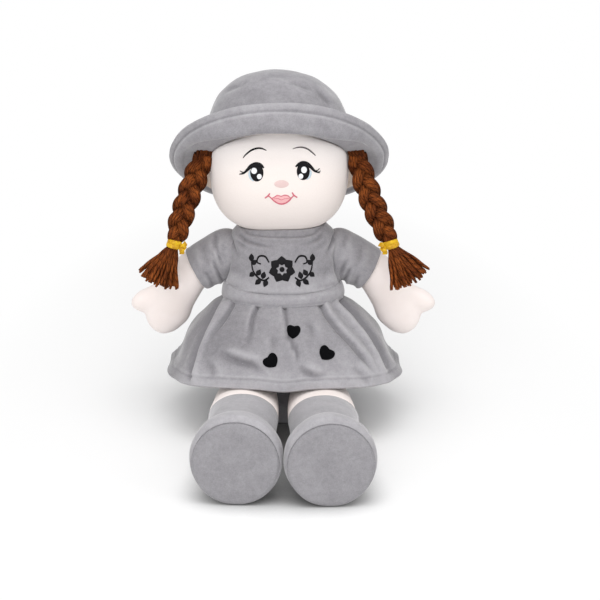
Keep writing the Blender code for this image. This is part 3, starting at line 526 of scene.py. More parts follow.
LIP = thread("lip_thread", (0.82, 0.42, 0.43), (0.92, 0.54, 0.55))
SEAM = thread("seam_thread", (0.19, 0.184, 0.195), (0.30, 0.292, 0.305))


# Torso and dress

TORSO_FINE = np.linspace(0, 1, 401)


def smooth_table(column):
    """One column of the torso's sections, eased between its heights."""
    heights = [row[0] for row in TORSO_SHARES]
    values = np.interp(TORSO_FINE, heights, [row[column] for row in TORSO_SHARES])
    reach = 14
    weights = np.hanning(2 * reach + 1)
    padded = np.concatenate((np.full(reach, values[0]), values, np.full(reach, values[-1])))
    return np.convolve(padded, weights / weights.sum(), mode="valid")


TORSO_WIDTHS = smooth_table(1)
TORSO_DEPTHS = smooth_table(2)


def torso_centre(share):
    return np.array((0.0, TORSO_SETBACK * share, TORSO_HEIGHT * share))


def round_points(count, power):
    """Unit points of a superellipse, from the front (-Y) towards +X."""
    angles = np.arange(count) * math.tau / count
    across, along = np.sin(angles), -np.cos(angles)
    return (
        np.sign(across) * np.abs(across) ** (2 / power),
        np.sign(along) * np.abs(along) ** (2 / power),
    )


def torso_ring(share, grow=0.0, sides=96, soft=True):
    across, along = round_points(sides, TORSO_POWER)
    inside = min(max(share, 0.0), 1.0)
    if soft:
        half_width = TORSO_HALF_WIDTH * np.interp(inside, TORSO_FINE, TORSO_WIDTHS)
        half_depth = TORSO_HALF_DEPTH * np.interp(inside, TORSO_FINE, TORSO_DEPTHS)
    else:
        heights, widths, depths = zip(*TORSO_SHARES)
        half_width = TORSO_HALF_WIDTH * np.interp(inside, heights, widths)
        half_depth = TORSO_HALF_DEPTH * np.interp(inside, heights, depths)
    lean = math.atan2(TORSO_SETBACK, TORSO_HEIGHT) * min(share / TORSO_TILT_SHARE, 1.0)
    depth = along * (half_depth + grow)
    width = across * (half_width + grow)
    offset = np.stack((width, depth * math.cos(lean), -depth * math.sin(lean)), -1)
    return torso_centre(share) + offset


def below_head(rows, gap):
    """Press a garment's top down under the head, and dip it below the chin."""
    rows = np.array(rows)
    share = rows[..., 2] / TORSO_HEIGHT
    neck_depth = TORSO_HALF_DEPTH * TORSO_SHARES[-1][2]
    ahead = np.clip((torso_centre(1.0)[1] - rows[..., 1]) / neck_depth, 0, 1)
    near_top = np.clip((share - NECK_DIP_SHARE) / (1 - NECK_DIP_SHARE), 0, 1)
    rows[..., 2] -= NECK_DIP * ahead ** 2 * near_top
    place = rows - np.array(HEAD_CENTRE)
    across = np.minimum(np.abs(place[..., 0]) / HEAD_HALF_WIDTH, 1)
    around = HEAD_RADIUS * (1 - across ** HEAD_POWER) ** (1 / HEAD_POWER)
    under = np.sqrt(np.maximum(around ** 2 - place[..., 1] ** 2, 0))
    limit = np.where(under > 0, HEAD_CENTRE.z - under - gap, np.inf)
    rows[..., 2] = np.minimum(rows[..., 2], limit)
    return rows


def make_torso():
    """The stuffed body, with its lap hollowed out for the legs."""
    shares = np.concatenate(([0.0, 0.006, 0.018, 0.04], np.linspace(0.07, 1.0, 40)))
    rows = np.array([torso_ring(share, sides=64, soft=share > 0.1) for share in shares])
    lap = np.clip((LAP_TOP + LAP_EASE - rows[..., 2]) / LAP_EASE, 0, 1)
    front = np.where(lap > 0, LAP_FRONT - (1 - lap) ** 2 * LAP_EASE, -1.0)
    rows[..., 1] = np.maximum(rows[..., 1], front)
    rows = below_head(rows, NECK_GAP + BODICE_THICKNESS)
    first = rows[0].mean(axis=0) + (rows[0] - rows[0].mean(axis=0)) * 0.5
    piece = link("torso_body", skin("torso_body", [first, *rows]), "torso", CREAM, ["torso"], levels=1)
    piece.data.materials.append(GREY)
    for face in piece.data.polygons:
        face.material_index = int(face.center.z < TORSO_CLOTH_TOP)


BODICE_SHARES = (0.662, 1.004)
# Painted light at the bodice's waist, fading to painted shade a third of the way up and kept to the
# neck
BODICE_PAINTED_SHADE = (0.75, -0.3, -0.3)
BODICE_CLEARANCE = 0.6 * MM
BODICE_THICKNESS = 2.2 * MM
BODICE_EDGE_RISE = 0.9 * MM
# Height, size and seed of the soft ripples of a cloth
BODICE_RIPPLE = (0.8 * MM, 17 * MM, 3)
DRESS_COLUMNS = 160
# Pixel line, width, valley depth, ridge height on one side, and how the ends fade
BODICE_FOLDS = (
    (((239, 223), (247, 229), (262, 231.3), (282, 232.4), (300, 232), (314, 229), (324, 222.5)),
     1.1, 1.3, 0.8, (0, 0)),
    (((222.5, 285.3), (232, 289.5), (250, 293.4), (267, 295.2), (284.5, 295.4), (302, 295),
      (318, 293), (334, 289), (343.5, 285.3)), 1.1, 1.9, 0.0, (0, 0)),
    (((229.6, 228), (230.2, 235), (232, 242), (234.3, 248), (238, 255)), 1.5, 2.4, 1.0, (0, 0.35)),
    (((337, 230), (334.3, 235), (332.2, 242), (329.6, 247.5), (326, 256)), 1.5, 2.4, -1.0, (0, 0.35)),
    (((226, 250), (228.4, 262), (228.2, 272), (226.2, 277.5), (223, 281)), 1.5, 2.0, 0.0, (0.2, 0)),
    (((335, 247), (335.3, 262), (336, 272), (339, 278.6), (342, 283)), 1.5, 2.2, 0.0, (0.2, 0)),
    (((236.3, 230.4), (241.6, 234.4), (247, 238.8), (254, 241.3), (264, 244.4), (276, 245.5)),
     2.0, 1.8, 0.9, (0.1, 0.5)),
    (((324, 229), (318, 236), (309, 241), (298, 243)), 2.2, 1.2, -0.7, (0.1, 0.6)),
    (((236, 238), (244.3, 245), (253, 251)), 2.6, 1.0, 0.5, (0.2, 0.6)),
    (((327, 238), (320, 246), (311, 252)), 2.6, 0.9, -0.5, (0.2, 0.6)),
    (((226, 285), (238, 287.5), (252, 289)), 2.6, 1.2, 0.6, (0.1, 0.6)),
    (((341, 284), (328, 286.5), (312, 289)), 2.6, 1.2, -0.6, (0.1, 0.6)),
    (((231, 262), (238, 272), (248, 280)), 4.0, 0.9, 0.6, (0.4, 0.5)),
    (((333, 264), (326, 273), (318, 280)), 4.0, 0.9, -0.6, (0.4, 0.5)),
)
# Fold depth that gives the fullest painted shade or painted light
PAINTED_SHADE_FOLD_DEPTH = 2.2 * MM
WAIST_SIDE_LIFTS = (3.4 * MM, 5.6 * MM)
WAIST_FRONT_DIPS = (0.6 * MM, 2.7 * MM)
WAIST_EASE_SHARE = 0.35


def cloth_rows(rows, folds, swell, size, seed):
    """Displace a garment's rows by its folds in front and by soft ripples all over, and give painted
    shade in the folds' valleys and painted light on their ridges.
    """
    rows = np.array(rows)
    centre = rows.mean(axis=1, keepdims=True)
    normals = grid_normals(rows, centre)
    facing = np.clip((-normals[..., 1] + 0.1) * 3, 0, 1)
    drawn = fold_depths(rows, folds) * facing
    moved = drawn + swell * noise_field(rows, size, seed)
    return rows + normals * moved[..., None], np.clip(drawn / PAINTED_SHADE_FOLD_DEPTH, -1, 1)


def waist_lift(sides, place):
    """How far the waist seams rise at the sides and dip in front, round one ring."""
    angles = np.arange(sides) * math.tau / sides
    flank = np.sin(angles) ** 2
    ahead = np.clip(np.cos(angles), 0, 1) ** 2
    side_lift = WAIST_SIDE_LIFTS[0] + (WAIST_SIDE_LIFTS[1] - WAIST_SIDE_LIFTS[0]) * place
    front_dip = WAIST_FRONT_DIPS[0] + (WAIST_FRONT_DIPS[1] - WAIST_FRONT_DIPS[0]) * place
    lift = np.zeros((sides, 3))
    lift[:, 2] = side_lift * flank - front_dip * ahead
    return lift


def make_bodice():
    low, high = BODICE_SHARES
    shares = np.linspace(low, high, 60)
    grow = BODICE_CLEARANCE + BODICE_THICKNESS

    def eased(share):
        place = (share - low) / (high - low)
        return waist_lift(DRESS_COLUMNS, 1.0) * max(1 - place / WAIST_EASE_SHARE, 0) ** 2

    rows = [torso_ring(share, grow, DRESS_COLUMNS) + eased(share) for share in shares]
    rows, painted_shade = cloth_rows(rows, BODICE_FOLDS, *BODICE_RIPPLE)
    rows = below_head(rows, NECK_GAP)
    edge = torso_ring(high, BODICE_CLEARANCE + BODICE_THICKNESS / 2, DRESS_COLUMNS)
    edge = below_head(edge + np.array((0, 0, BODICE_EDGE_RISE)), NECK_GAP)
    inner = [torso_ring(share, BODICE_CLEARANCE, DRESS_COLUMNS) + eased(share) for share in shares[::6]]
    inner = below_head(inner, NECK_GAP + BODICE_THICKNESS * 0.8)
    # Painted light and shade by height, added to the folds' painted shade
    painted_shade = painted_shade + np.interp(np.linspace(0, 1, len(rows)), (0, 0.35, 1), BODICE_PAINTED_SHADE)[:, None]
    mesh = skin("dress_bodice", shell_rows([*rows, edge], inner), looped=True, painted_shade=painted_shade)
    piece = link("dress_bodice", mesh, "torso", GREY, ["bodice", "collar"], levels=1)
    return piece


WAISTBAND_SHARES = (0.600, 0.672)
WAISTBAND_CLEARANCE = 0.9 * MM
WAISTBAND_REACH = 2.7 * MM
WAISTBAND_BULGE = 1.4 * MM
WAISTBAND_RIPPLE = (0.5 * MM, 14 * MM, 8)
# Painted light over the whole waistband
WAISTBAND_PAINTED_LIGHT = 0.1
WAISTBAND_FOLDS = (
    (((222, 296.5), (234, 301.5), (260, 305), (286, 306.6), (316, 304), (337, 300), (345, 295.5)),
     1.0, 0.5, 0.0, (0, 0)),
    (((222, 291), (240, 296.5), (262, 299), (284, 300), (310, 298.5), (344, 290)),
     3.0, -0.5, 0.0, (0, 0)),
)


def make_waistband():
    low, high = WAISTBAND_SHARES
    shares = np.linspace(low, high, 16)
    across = np.linspace(0, 1, 16)
    rows = []
    for share, place in zip(shares, across):
        bulge = WAISTBAND_BULGE * (1 - (2 * place - 1) ** 4)
        ring = torso_ring(share, WAISTBAND_REACH + bulge, DRESS_COLUMNS)
        rows.append(ring + waist_lift(DRESS_COLUMNS, place))
    rows, painted_shade = cloth_rows(rows, WAISTBAND_FOLDS, *WAISTBAND_RIPPLE)
    inner = []
    for place in (0, 0.5, 1):
        ring = torso_ring(low + (high - low) * place, WAISTBAND_CLEARANCE, DRESS_COLUMNS)
        inner.append(ring + waist_lift(DRESS_COLUMNS, place))
    rows = shell_rows(rows, np.array(inner))
    # Painted shade and light from the folds, and painted light over the whole band
    mesh = skin("dress_waistband", rows, looped=True, painted_shade=painted_shade + WAISTBAND_PAINTED_LIGHT)
    piece = link("dress_waistband", mesh, "torso", GREY, ["waistband"], levels=1)


# Skirt

SKIRT_WAIST_SHARE = 0.605
SKIRT_THICKNESS = 2.0 * MM
SKIRT_HALF_WIDTH = 109 * MM
SKIRT_LEAN = 1.4 * MM
SKIRT_EASE = 1.5 * MM
SKIRT_SETBACK = 7 * MM
# How far the sides are drawn in above the hem and let out below the waist
SKIRT_FLANK_TUCK = 5.5 * MM
SKIRT_TUCK_POWER = 3
SKIRT_FLANK_FULLNESS = 4 * MM
SKIRT_FULL_START = 0.08
SKIRT_RIPPLE = (1.0 * MM, 24 * MM, 5)
SKIRT_FRONT_REACH = 106 * MM
SKIRT_BACK_REACH = 90 * MM
SKIRT_SIDE_HEIGHT = 46.5 * MM
SKIRT_BACK_HEIGHT = 34 * MM
SKIRT_FRONT_HEIGHT = 58.4 * MM
SKIRT_POWER = 2.6
SKIRT_ROW_SHARES = (
    (0.0, 0.0),
    (0.16, 0.238),
    (0.32, 0.452),
    (0.50, 0.650),
    (0.70, 0.812),
    (0.88, 0.938),
    (1.0, 1.0),
)
SKIRT_COLUMNS = 280
SKIRT_ROWS = 60
PLEAT_COUNT = 14
PLEAT_WAIST_DEPTH = 1.5 * MM
PLEAT_HEM_DEPTH = 7 * MM
FLANK_CALM = 0.8
# Painted shade on the two side panels, painted shade and light down the front, and painted shade on the
# front towards -X
SKIRT_SIDE_PAINTED_SHADES = (-1.0, -0.6)
SKIRT_FRONT_PAINTED_SHADE = ((0.0, 0.45, 0.7, 1.0), (-0.15, -0.35, 0.1, 0.8))
SKIRT_LEFT_PAINTED_SHADE = -0.6
SKIRT_FOLDS = (
    (((220, 299), (214.2, 309.4), (206, 327), (196, 349), (190, 372), (189, 384)),
     2.6, 3.2, -2.4, (0.0, 0.1)),
    (((233, 304), (229.6, 310), (226, 316), (219, 327), (208, 342)), 2.0, 3.4, 1.2, (0.0, 0.6)),
    (((259, 304.5), (255, 312), (252.3, 318), (250.4, 332), (247, 348)), 1.9, 3.6, 1.1, (0.0, 0.5)),
    (((284.5, 306), (286, 320), (287.5, 333), (293, 345), (298, 356), (300, 366)),
     1.9, 3.8, 1.3, (0.0, 0.25)),
    (((320, 303), (326, 315), (338, 330), (352, 345), (366, 362), (377, 379)),
     2.4, 3.4, -2.2, (0.0, 0.3)),
    (((341, 301), (352, 312), (366, 329), (381, 352), (391, 376)), 2.4, 3.2, 2.2, (0.0, 0.15)),
    (((219, 351), (228, 357.5), (240, 362), (254, 366), (266, 376)), 3.6, 3.4, -2.6, (0.3, 0.5)),
    (((299, 364), (305, 372), (315, 377), (330, 374)), 3.4, 2.8, -1.6, (0.3, 0.5)),
    (((272, 332), (274, 344), (270, 352)), 3.4, 1.4, 1.0, (0.4, 0.5)),
    (((306, 318), (312, 330), (314, 342)), 3.6, 1.6, -1.2, (0.4, 0.5)),
    (((352, 366), (362, 374), (370, 384)), 3.6, 2.0, -1.2, (0.4, 0.2)),
    (((205, 360), (212, 370), (214, 380)), 4.0, 1.6, -1.0, (0.4, 0.3)),
)
HEM_SAG = 2.6 * MM
HEM_SAG_WIDTH = 17 * MM
HEM_FOLD_DEPTH = 0.7 * MM
HEM_RIDGE_DEPTH = 0.5 * MM
HEM_RIDGE_RISE = 2.2 * MM
HEM_TURN_DEPTH = 0.3 * MM
HEM_GROOVE_WIDTH = 1.0 * MM
HEM_WIDTH = 7.5 * MM
HEM_STEP = 0.5 * MM
HEM_ROUNDING = 0.8 * MM


def skirt_hem(share):
    angle = math.tau * share
    across, along = math.sin(angle), -math.cos(angle)
    across = math.copysign(abs(across) ** (2 / SKIRT_POWER), across)
    along = math.copysign(abs(along) ** (2 / SKIRT_POWER), along)
    height = SKIRT_SIDE_HEIGHT + (SKIRT_FRONT_HEIGHT - SKIRT_SIDE_HEIGHT) * max(-along, 0.0) ** 2
    height += (SKIRT_BACK_HEIGHT - SKIRT_SIDE_HEIGHT) * max(along, 0.0) ** 2
    if along < 0:
        height -= HEM_SAG * math.exp(-((across * SKIRT_HALF_WIDTH / HEM_SAG_WIDTH) ** 2))
    reach = SKIRT_BACK_REACH if along > 0 else SKIRT_FRONT_REACH
    middle = torso_centre(0.60)[1] + SKIRT_SETBACK
    return np.array((across * SKIRT_HALF_WIDTH, middle + along * reach, height))


def pleat_profile(turn, down):
    """Side and back pleats: tight tucks at the waist that open into soft waves at the hem."""
    wander = 0.25 * math.sin(turn * 2.7 + 1.3) + 0.2 * math.sin(turn * 5.1)
    phase = turn * PLEAT_COUNT + wander
    wave = 0.5 + 0.5 * np.cos(phase)
    tuck = wave ** 0.55
    return tuck * (1 - down) + wave * down


def skirt_rows():
    """Rows of the skirt from waist to hem, and painted shade at each point: darker in the pleats'
    valleys and on the side panels, lighter on pleat crests and low on the front.
    """
    columns = SKIRT_COLUMNS
    waist = torso_ring(SKIRT_WAIST_SHARE, SKIRT_EASE, columns)
    lift = waist_lift(columns, 0.0)
    centre = torso_centre(SKIRT_WAIST_SHARE)
    hems = np.array([skirt_hem(index / columns) for index in range(columns)])
    turns = np.arange(columns) * math.tau / columns
    off_front = np.minimum(turns, math.tau - turns)
    sideways = np.clip((off_front - 0.85) / 0.5, 0, 1)
    flank = np.abs(np.sin(turns)) ** 4
    side_painted_shade = np.where(np.sin(turns) < 0, *SKIRT_SIDE_PAINTED_SHADES)
    left = np.clip(-2.2 * np.sin(turns) - 0.2, 0, 1)
    rows, painted_shade = [], []
    for drop, spread in spline(SKIRT_ROW_SHARES, SKIRT_ROWS):
        row = waist + (hems - waist) * spread
        row[:, 2] = waist[:, 2] + (hems[:, 2] - waist[:, 2]) * drop
        row[:, 0] += SKIRT_LEAN * spread
        row += lift * max(1 - drop, 0) ** 3
        outward = row - centre
        outward[:, 2] = 0
        outward = unit(outward)
        depth = PLEAT_WAIST_DEPTH + (PLEAT_HEM_DEPTH - PLEAT_WAIST_DEPTH) * spread
        depth = depth * (1 - FLANK_CALM * flank)
        pleats = np.array([pleat_profile(turn, spread) for turn in turns])
        even = 0.55 + 0.12 * np.cos(turns * 9 + 0.6) * spread
        waves = pleats * sideways + even * (1 - sideways)
        down = min(max(drop, 0), 1)
        full = SKIRT_FLANK_FULLNESS * min(down / SKIRT_FULL_START, 1) * (1 - down)
        tuck = (SKIRT_FLANK_TUCK * math.sin(math.pi * down ** SKIRT_TUCK_POWER) - full) * flank
        rows.append(row + outward * (depth * (waves - drop) - tuck)[:, None])
        fade = math.sin(math.pi * min(drop, 1))
        front = np.interp(drop, *SKIRT_FRONT_PAINTED_SHADE) + SKIRT_LEFT_PAINTED_SHADE * left * fade
        panel = side_painted_shade * sideways + front * (1 - sideways)
        # Painted shade in the pleats' valleys, painted light on their crests, and each panel's painted
        # light or shade
        painted_shade.append((pleats - 0.6) * sideways * (0.4 + 0.5 * spread) + panel)
    return np.array(rows), np.array(painted_shade)


def make_skirt():
    rows, pleat_painted_shade = skirt_rows()
    rows, painted_shade = cloth_rows(rows, SKIRT_FOLDS, *SKIRT_RIPPLE)
    normals = grid_normals(rows, rows.mean(axis=1, keepdims=True))
    lengths = np.linalg.norm(np.diff(rows, axis=0), axis=2)
    from_hem = np.concatenate((np.cumsum(lengths[::-1], axis=0)[::-1], np.zeros((1, SKIRT_COLUMNS))))
    groove = np.exp(-(((from_hem - HEM_WIDTH) / HEM_GROOVE_WIDTH) ** 2))
    ridge = np.exp(-(((from_hem - HEM_WIDTH - HEM_RIDGE_RISE) / HEM_GROOVE_WIDTH) ** 2))
    turned = HEM_TURN_DEPTH / (1 + np.exp((from_hem - HEM_WIDTH) / HEM_STEP))
    rows = rows + normals * (turned + HEM_RIDGE_DEPTH * ridge - HEM_FOLD_DEPTH * groove)[..., None]
    # Painted light on the hem's ridge and painted shade in its groove
    painted_shade = np.clip(painted_shade + pleat_painted_shade + 0.5 * ridge - 0.4 * groove, -1, 1)
    lowest = rows[-1] - normals[-1] * SKIRT_THICKNESS / 2
    lowest[:, 2] -= HEM_ROUNDING
    inner = rows[::3] - normals[::3] * SKIRT_THICKNESS
    mesh = skin("dress_skirt", shell_rows([*rows, lowest], inner), looped=True, painted_shade=painted_shade)
    piece = link("dress_skirt", mesh, "torso", GREY, ["skirt"], levels=0)
    return piece


# Head

def hat_axes():
    up = Vector((0, math.sin(HAT_TILT), math.cos(HAT_TILT)))
    front = Vector((0, -math.cos(HAT_TILT), math.sin(HAT_TILT)))
    return up, front


# Painted light on the brow: full from this far below the hat's base, fading out over this height lower
# down
PAINTED_BROW_BELOW_HAT = 6 * MM
PAINTED_BROW_FADE = 26 * MM


def make_head():
    """A squarish ball, drawn up inside the hat."""
    bm = bmesh.new()
    quarter_turn = Matrix.Rotation(math.pi / 2, 4, "Y")
    bmesh.ops.create_uvsphere(bm, u_segments=96, v_segments=64, radius=1, matrix=quarter_turn)
    up, _ = hat_axes()
    painted_brow_light = bm.verts.layers.float.new("painted_brow_light")
    exponent = 2 / HEAD_POWER
    for vertex in bm.verts:
        across = min(abs(vertex.co.x), 1.0)
        around = math.hypot(vertex.co.y, vertex.co.z)
        scale = HEAD_RADIUS * around ** exponent / max(around, 1e-9)
        width = math.copysign(HEAD_HALF_WIDTH * across ** exponent, vertex.co.x)
        point = Vector((width, vertex.co.y * scale, vertex.co.z * scale))
        rise = max(point.dot(up), 0.0)
        point += up * rise * (CRANIUM_STRETCH - 1)
        level = point.dot(up)
        # How much painted light the brow gets here
        vertex[painted_brow_light] = min(max(1 + (level + PAINTED_BROW_BELOW_HAT) / PAINTED_BROW_FADE, 0.0), 1.0)
        if level > 0:
            flat = point - up * level
            narrowed = min(level / HEAD_NARROWING, 1.0)
            room = HEAD_HALF_WIDTH + (HEAD_HAT_RADIUS - HEAD_HALF_WIDTH) * narrowed
            if flat.length > room:
                point = up * level + flat * (room / flat.length)
        vertex.co = HEAD_CENTRE + point
    piece = link("head_ball", closed_mesh(bm, "head_ball"), "head", FACE, ["head"])
    return piece


def face_plush():
    """The face's plush: the body's, with painted shade on the cheeks and painted light on the brow,
    against the brim's shade.
    """
    n = Nodes("cream_plush_face")
    tuft = n.noise(1900, detail=2.0, rough=0.7)
    painted_brow_light = n.add("ShaderNodeAttribute", attribute_name="painted_brow_light").outputs["Fac"]
    fleck = n.spread(tuft, 0.3, 0.7)
    # Cheeks a little darker than the body's plush: painted shade
    cheek_painted_shade = n.mix(fleck, (0.835, 0.757, 0.715), (0.885, 0.812, 0.775))
    # Painted light on the brow
    colour = n.mix(painted_brow_light, cheek_painted_shade, n.mix(fleck, (0.945, 0.885, 0.86), (0.985, 0.93, 0.905)))
    normal = n.bump(tuft, 0.22, PLUSH_BUMP)
    return n.finish(colour, normal, 0.9, **PLUSH_FINISH)


FACE = face_plush()


# Embroidery, drawn in the photograph's pixels and laid on the piece that carries it

# How deep the foot of a patch and the edges of threads are sunk
PATCH_SINK = 0.5 * MM
THREAD_SINK = 0.4 * MM
# How far each layer of the face is lifted over the head
LIP_LIFT = 0.05 * MM
LOW_LIFT = 0.1 * MM
LINE_LIFT = 0.15 * MM
IRIS_LIFT = 0.2 * MM
TICK_LIFT = 0.3 * MM
LASH_LIFT = 0.35 * MM
SHINE_LIFT = 0.55 * MM


def lay_patch(bm, tree, outline, lift, dome=0.35 * MM, rings=5):
    """A closed padded shape of thread. The outline is a list of pixels."""
    outline = np.array(outline, float)
    middle = outline.mean(axis=0)
    point, normal = on_surface(tree, middle)
    top = bm.verts.new(point + normal * (lift + dome))
    bottom = bm.verts.new(point - normal * PATCH_SINK)
    shares = [1 - (1 - step / rings) ** 1.5 for step in range(1, rings + 1)]
    last = None
    for share in shares:
        ring = []
        for spot in outline:
            point, normal = on_surface(tree, middle + (spot - middle) * share)
            ring.append(bm.verts.new(point + normal * (lift + dome * (1 - share ** 3))))
        join_rings(bm, last, ring, top)
        last = ring
    edge = []
    for spot in outline:
        point, normal = on_surface(tree, middle + (spot - middle) * 0.98)
        edge.append(bm.verts.new(point - normal * THREAD_SINK))
    join_rings(bm, last, edge, top)
    for index in range(len(edge)):
        bm.faces.new((edge[index], edge[(index + 1) % len(edge)], bottom))


def join_rings(bm, inner, outer, pole):
    count = len(outer)
    for index in range(count):
        after = (index + 1) % count
        if inner is None:
            bm.faces.new((pole, outer[index], outer[after]))
        else:
            bm.faces.new((inner[index], outer[index], outer[after], inner[after]))


def lay_stroke(bm, tree, line, widths, lift=0.0, height=0.45 * MM, count=24):
    """A line of thread with a rounded top. Its widths are pixels, from its start to its end."""
    spots = spline(line, count)
    halves = np.interp(np.linspace(0, 1, count), np.linspace(0, 1, len(widths)), widths) / 2
    places = [on_surface(tree, spot) for spot in spots]
    rows = []
    for index, (point, normal) in enumerate(places):
        before = places[max(index - 1, 0)][0]
        after = places[min(index + 1, count - 1)][0]
        side = normal.cross(after - before).normalized()
        half = halves[index] * (EYE - point).length / FOCAL_PX
        top = min(height, half * 1.1) + lift
        row = []
        for step in range(7):
            angle = math.pi * step / 6
            row.append(point + side * half * math.cos(angle) + normal * (top * math.sin(angle)))
        row.append(point - side * half * 0.8 - normal * THREAD_SINK)
        row.append(point + side * half * 0.8 - normal * THREAD_SINK)
        rows.append(row)
    rows_into(bm, rows)


def ellipse(centre, half_width, half_height, count=28, turn=0.0):
    points = []
    for index in range(count):
        angle = math.tau * index / count
        across, down = half_width * math.cos(angle), half_height * math.sin(angle)
        points.append((
            centre[0] + across * math.cos(turn) - down * math.sin(turn),
            centre[1] + across * math.sin(turn) + down * math.cos(turn),
        ))
    return points


def embroider(name, tree, body, material, patches=(), strokes=(), replaces=()):
    bm = bmesh.new()
    for outline, lift in patches:
        lay_patch(bm, tree, outline, lift)
    for line, widths, lift in strokes:
        lay_stroke(bm, tree, line, widths, lift)
    piece = link(name, closed_mesh(bm, name), body, material, replaces)
    return piece


def make_face(tree):
    left_lash = [
        ((239.6, 174.2), (243.6, 173.2), (247.6, 169.6), (251.2, 166.1),
         (256.0, 164.3), (260.5, 165.2), (264.0, 168.0)),
        (0.8, 1.9, 3.0, 4.2, 4.6, 3.8, 1.0),
        LASH_LIFT,
    ]
    right_lash = [
        ((295.5, 166.8), (298.6, 164.6), (302.6, 163.1), (307.2, 164.0),
         (311.2, 167.3), (314.8, 171.0), (319.8, 172.8)),
        (1.0, 3.4, 4.4, 4.2, 3.3, 2.3, 0.8),
        LASH_LIFT,
    ]
    left_ticks = [
        (((240.1, 170.9), (242.1, 172.0), (244.5, 172.4)), (0.5, 0.9, 1.2), TICK_LIFT),
    ]
    right_ticks = [
        (((319.6, 168.3), (317.6, 170.2), (315.4, 171.0)), (0.5, 0.9, 1.2), TICK_LIFT),
        (((320.6, 170.9), (318.6, 171.9), (316.6, 172.0)), (0.5, 0.8, 1.0), TICK_LIFT),
    ]
    embroider(
        "eye_black_left", tree, "head", BLACK,
        [(ellipse((256.9, 172.9), 6.6, 8.6), IRIS_LIFT)], [left_lash, *left_ticks],
    )
    embroider(
        "eye_black_right", tree, "head", BLACK,
        [(ellipse((303.2, 171.4), 6.5, 8.7), IRIS_LIFT)], [right_lash, *right_ticks],
    )
    embroider(
        "eye_blue_left", tree, "head", BLUE, (),
        [(((249.9, 170.2), (249.3, 174.0), (250.6, 178.2), (253.6, 181.2)),
          (0.8, 2.2, 2.3, 0.8), LOW_LIFT)],
    )
    embroider(
        "eye_blue_right", tree, "head", BLUE, (),
        [(((310.2, 169.6), (310.8, 172.8), (309.4, 177.0), (306.6, 179.8)),
          (0.8, 2.3, 2.2, 0.8), LOW_LIFT)],
    )
    embroider(
        "eye_shine_left", tree, "head", WHITE,
        [(ellipse((254.2, 170.8), 2.9, 3.1, 20), SHINE_LIFT),
         (ellipse((259.4, 176.5), 2.4, 2.6, 20), SHINE_LIFT)],
    )
    embroider(
        "eye_shine_right", tree, "head", WHITE,
        [(ellipse((303.9, 169.8), 2.9, 3.3, 20), SHINE_LIFT),
         (ellipse((300.8, 176.2), 2.4, 2.6, 20), SHINE_LIFT)],
    )
    embroider(
        "brow_left", tree, "head", BLACK, (),
        [(((243.1, 157.9), (246.0, 154.4), (251.0, 150.5), (256.6, 148.4),
           (261.5, 148.4), (266.5, 150.5)),
          (0.7, 1.5, 2.0, 2.1, 1.7, 0.7), 0.0)],
    )
    embroider(
        "brow_right", tree, "head", BROW_GREY, (),
        [(((292.7, 148.8), (298.0, 147.4), (302.9, 147.4), (307.8, 149.1),
           (312.0, 152.3), (315.6, 155.6)),
          (0.7, 1.3, 1.6, 1.7, 1.6, 0.9), 0.0)],
    )
    embroider("nose_patch", tree, "head", NOSE, [(ellipse((281.5, 184.0), 7.2, 3.8), LOW_LIFT)])
    embroider(
        "mouth_lips", tree, "head", LIP,
        [(((271.4, 198.2), (274.2, 197.2), (277.4, 195.7), (281.1, 196.4), (284.7, 195.4),
           (288.2, 196.0), (290.4, 198.0), (288.4, 200.8), (285.6, 202.6), (281.6, 203.6),
           (277.8, 202.8), (274.4, 200.8)), LIP_LIFT)],
    )
    embroider(
        "mouth_lines", tree, "head", ROSE, (),
        [(((267.6, 195.3), (270.6, 197.6), (274.1, 201.0), (277.6, 203.2), (281.8, 204.1),
           (286.0, 203.0), (289.5, 200.4), (292.3, 196.9), (294.3, 195.0)),
          (1.1, 1.3, 1.4, 1.3, 1.7, 1.3, 1.4, 1.3, 1.1), LINE_LIFT),
         (((265.0, 198.0), (268.0, 195.9), (269.8, 193.4)), (1.3, 1.7, 1.2), LINE_LIFT),
         (((292.2, 192.4), (293.8, 195.2), (297.1, 197.4)), (1.2, 1.7, 1.3), LINE_LIFT),
         (((271.3, 198.2), (274.1, 197.3), (277.3, 195.4), (281.1, 196.2), (284.6, 195.1),
           (288.1, 195.8), (290.4, 197.9)), (0.7, 0.9, 1.1, 0.8, 1.1, 0.9, 0.7), LINE_LIFT),
         (((273.6, 198.9), (277.8, 198.3), (281.1, 199.7), (284.8, 198.5), (289.4, 198.3)),
          (0.5, 0.9, 1.1, 0.9, 0.5), LINE_LIFT)],
    )


# Hat

def hat_point(angle, radius, height):
    """Array point in the hat's frame, its angle counted from the front towards +X."""
    up, front = hat_axes()
    outward = front * math.cos(angle) + Vector((math.sin(angle), 0, 0))
    return np.array(HEAD_CENTRE + outward * radius + up * height)


# Height, size and seed of each layer of lumps
CROWN_LUMPS = ((1.2 * MM, 34 * MM, 11), (0.5 * MM, 15 * MM, 4))
BRIM_LUMPS = ((0.8 * MM, 30 * MM, 21), (0.3 * MM, 9 * MM, 2))
CROWN_SINK = 0.8 * MM
CROWN_THICKNESS = 2.4 * MM


def lumps_of(rows, layers):
    return sum(height * noise_field(rows, size, seed) for height, size, seed in layers)


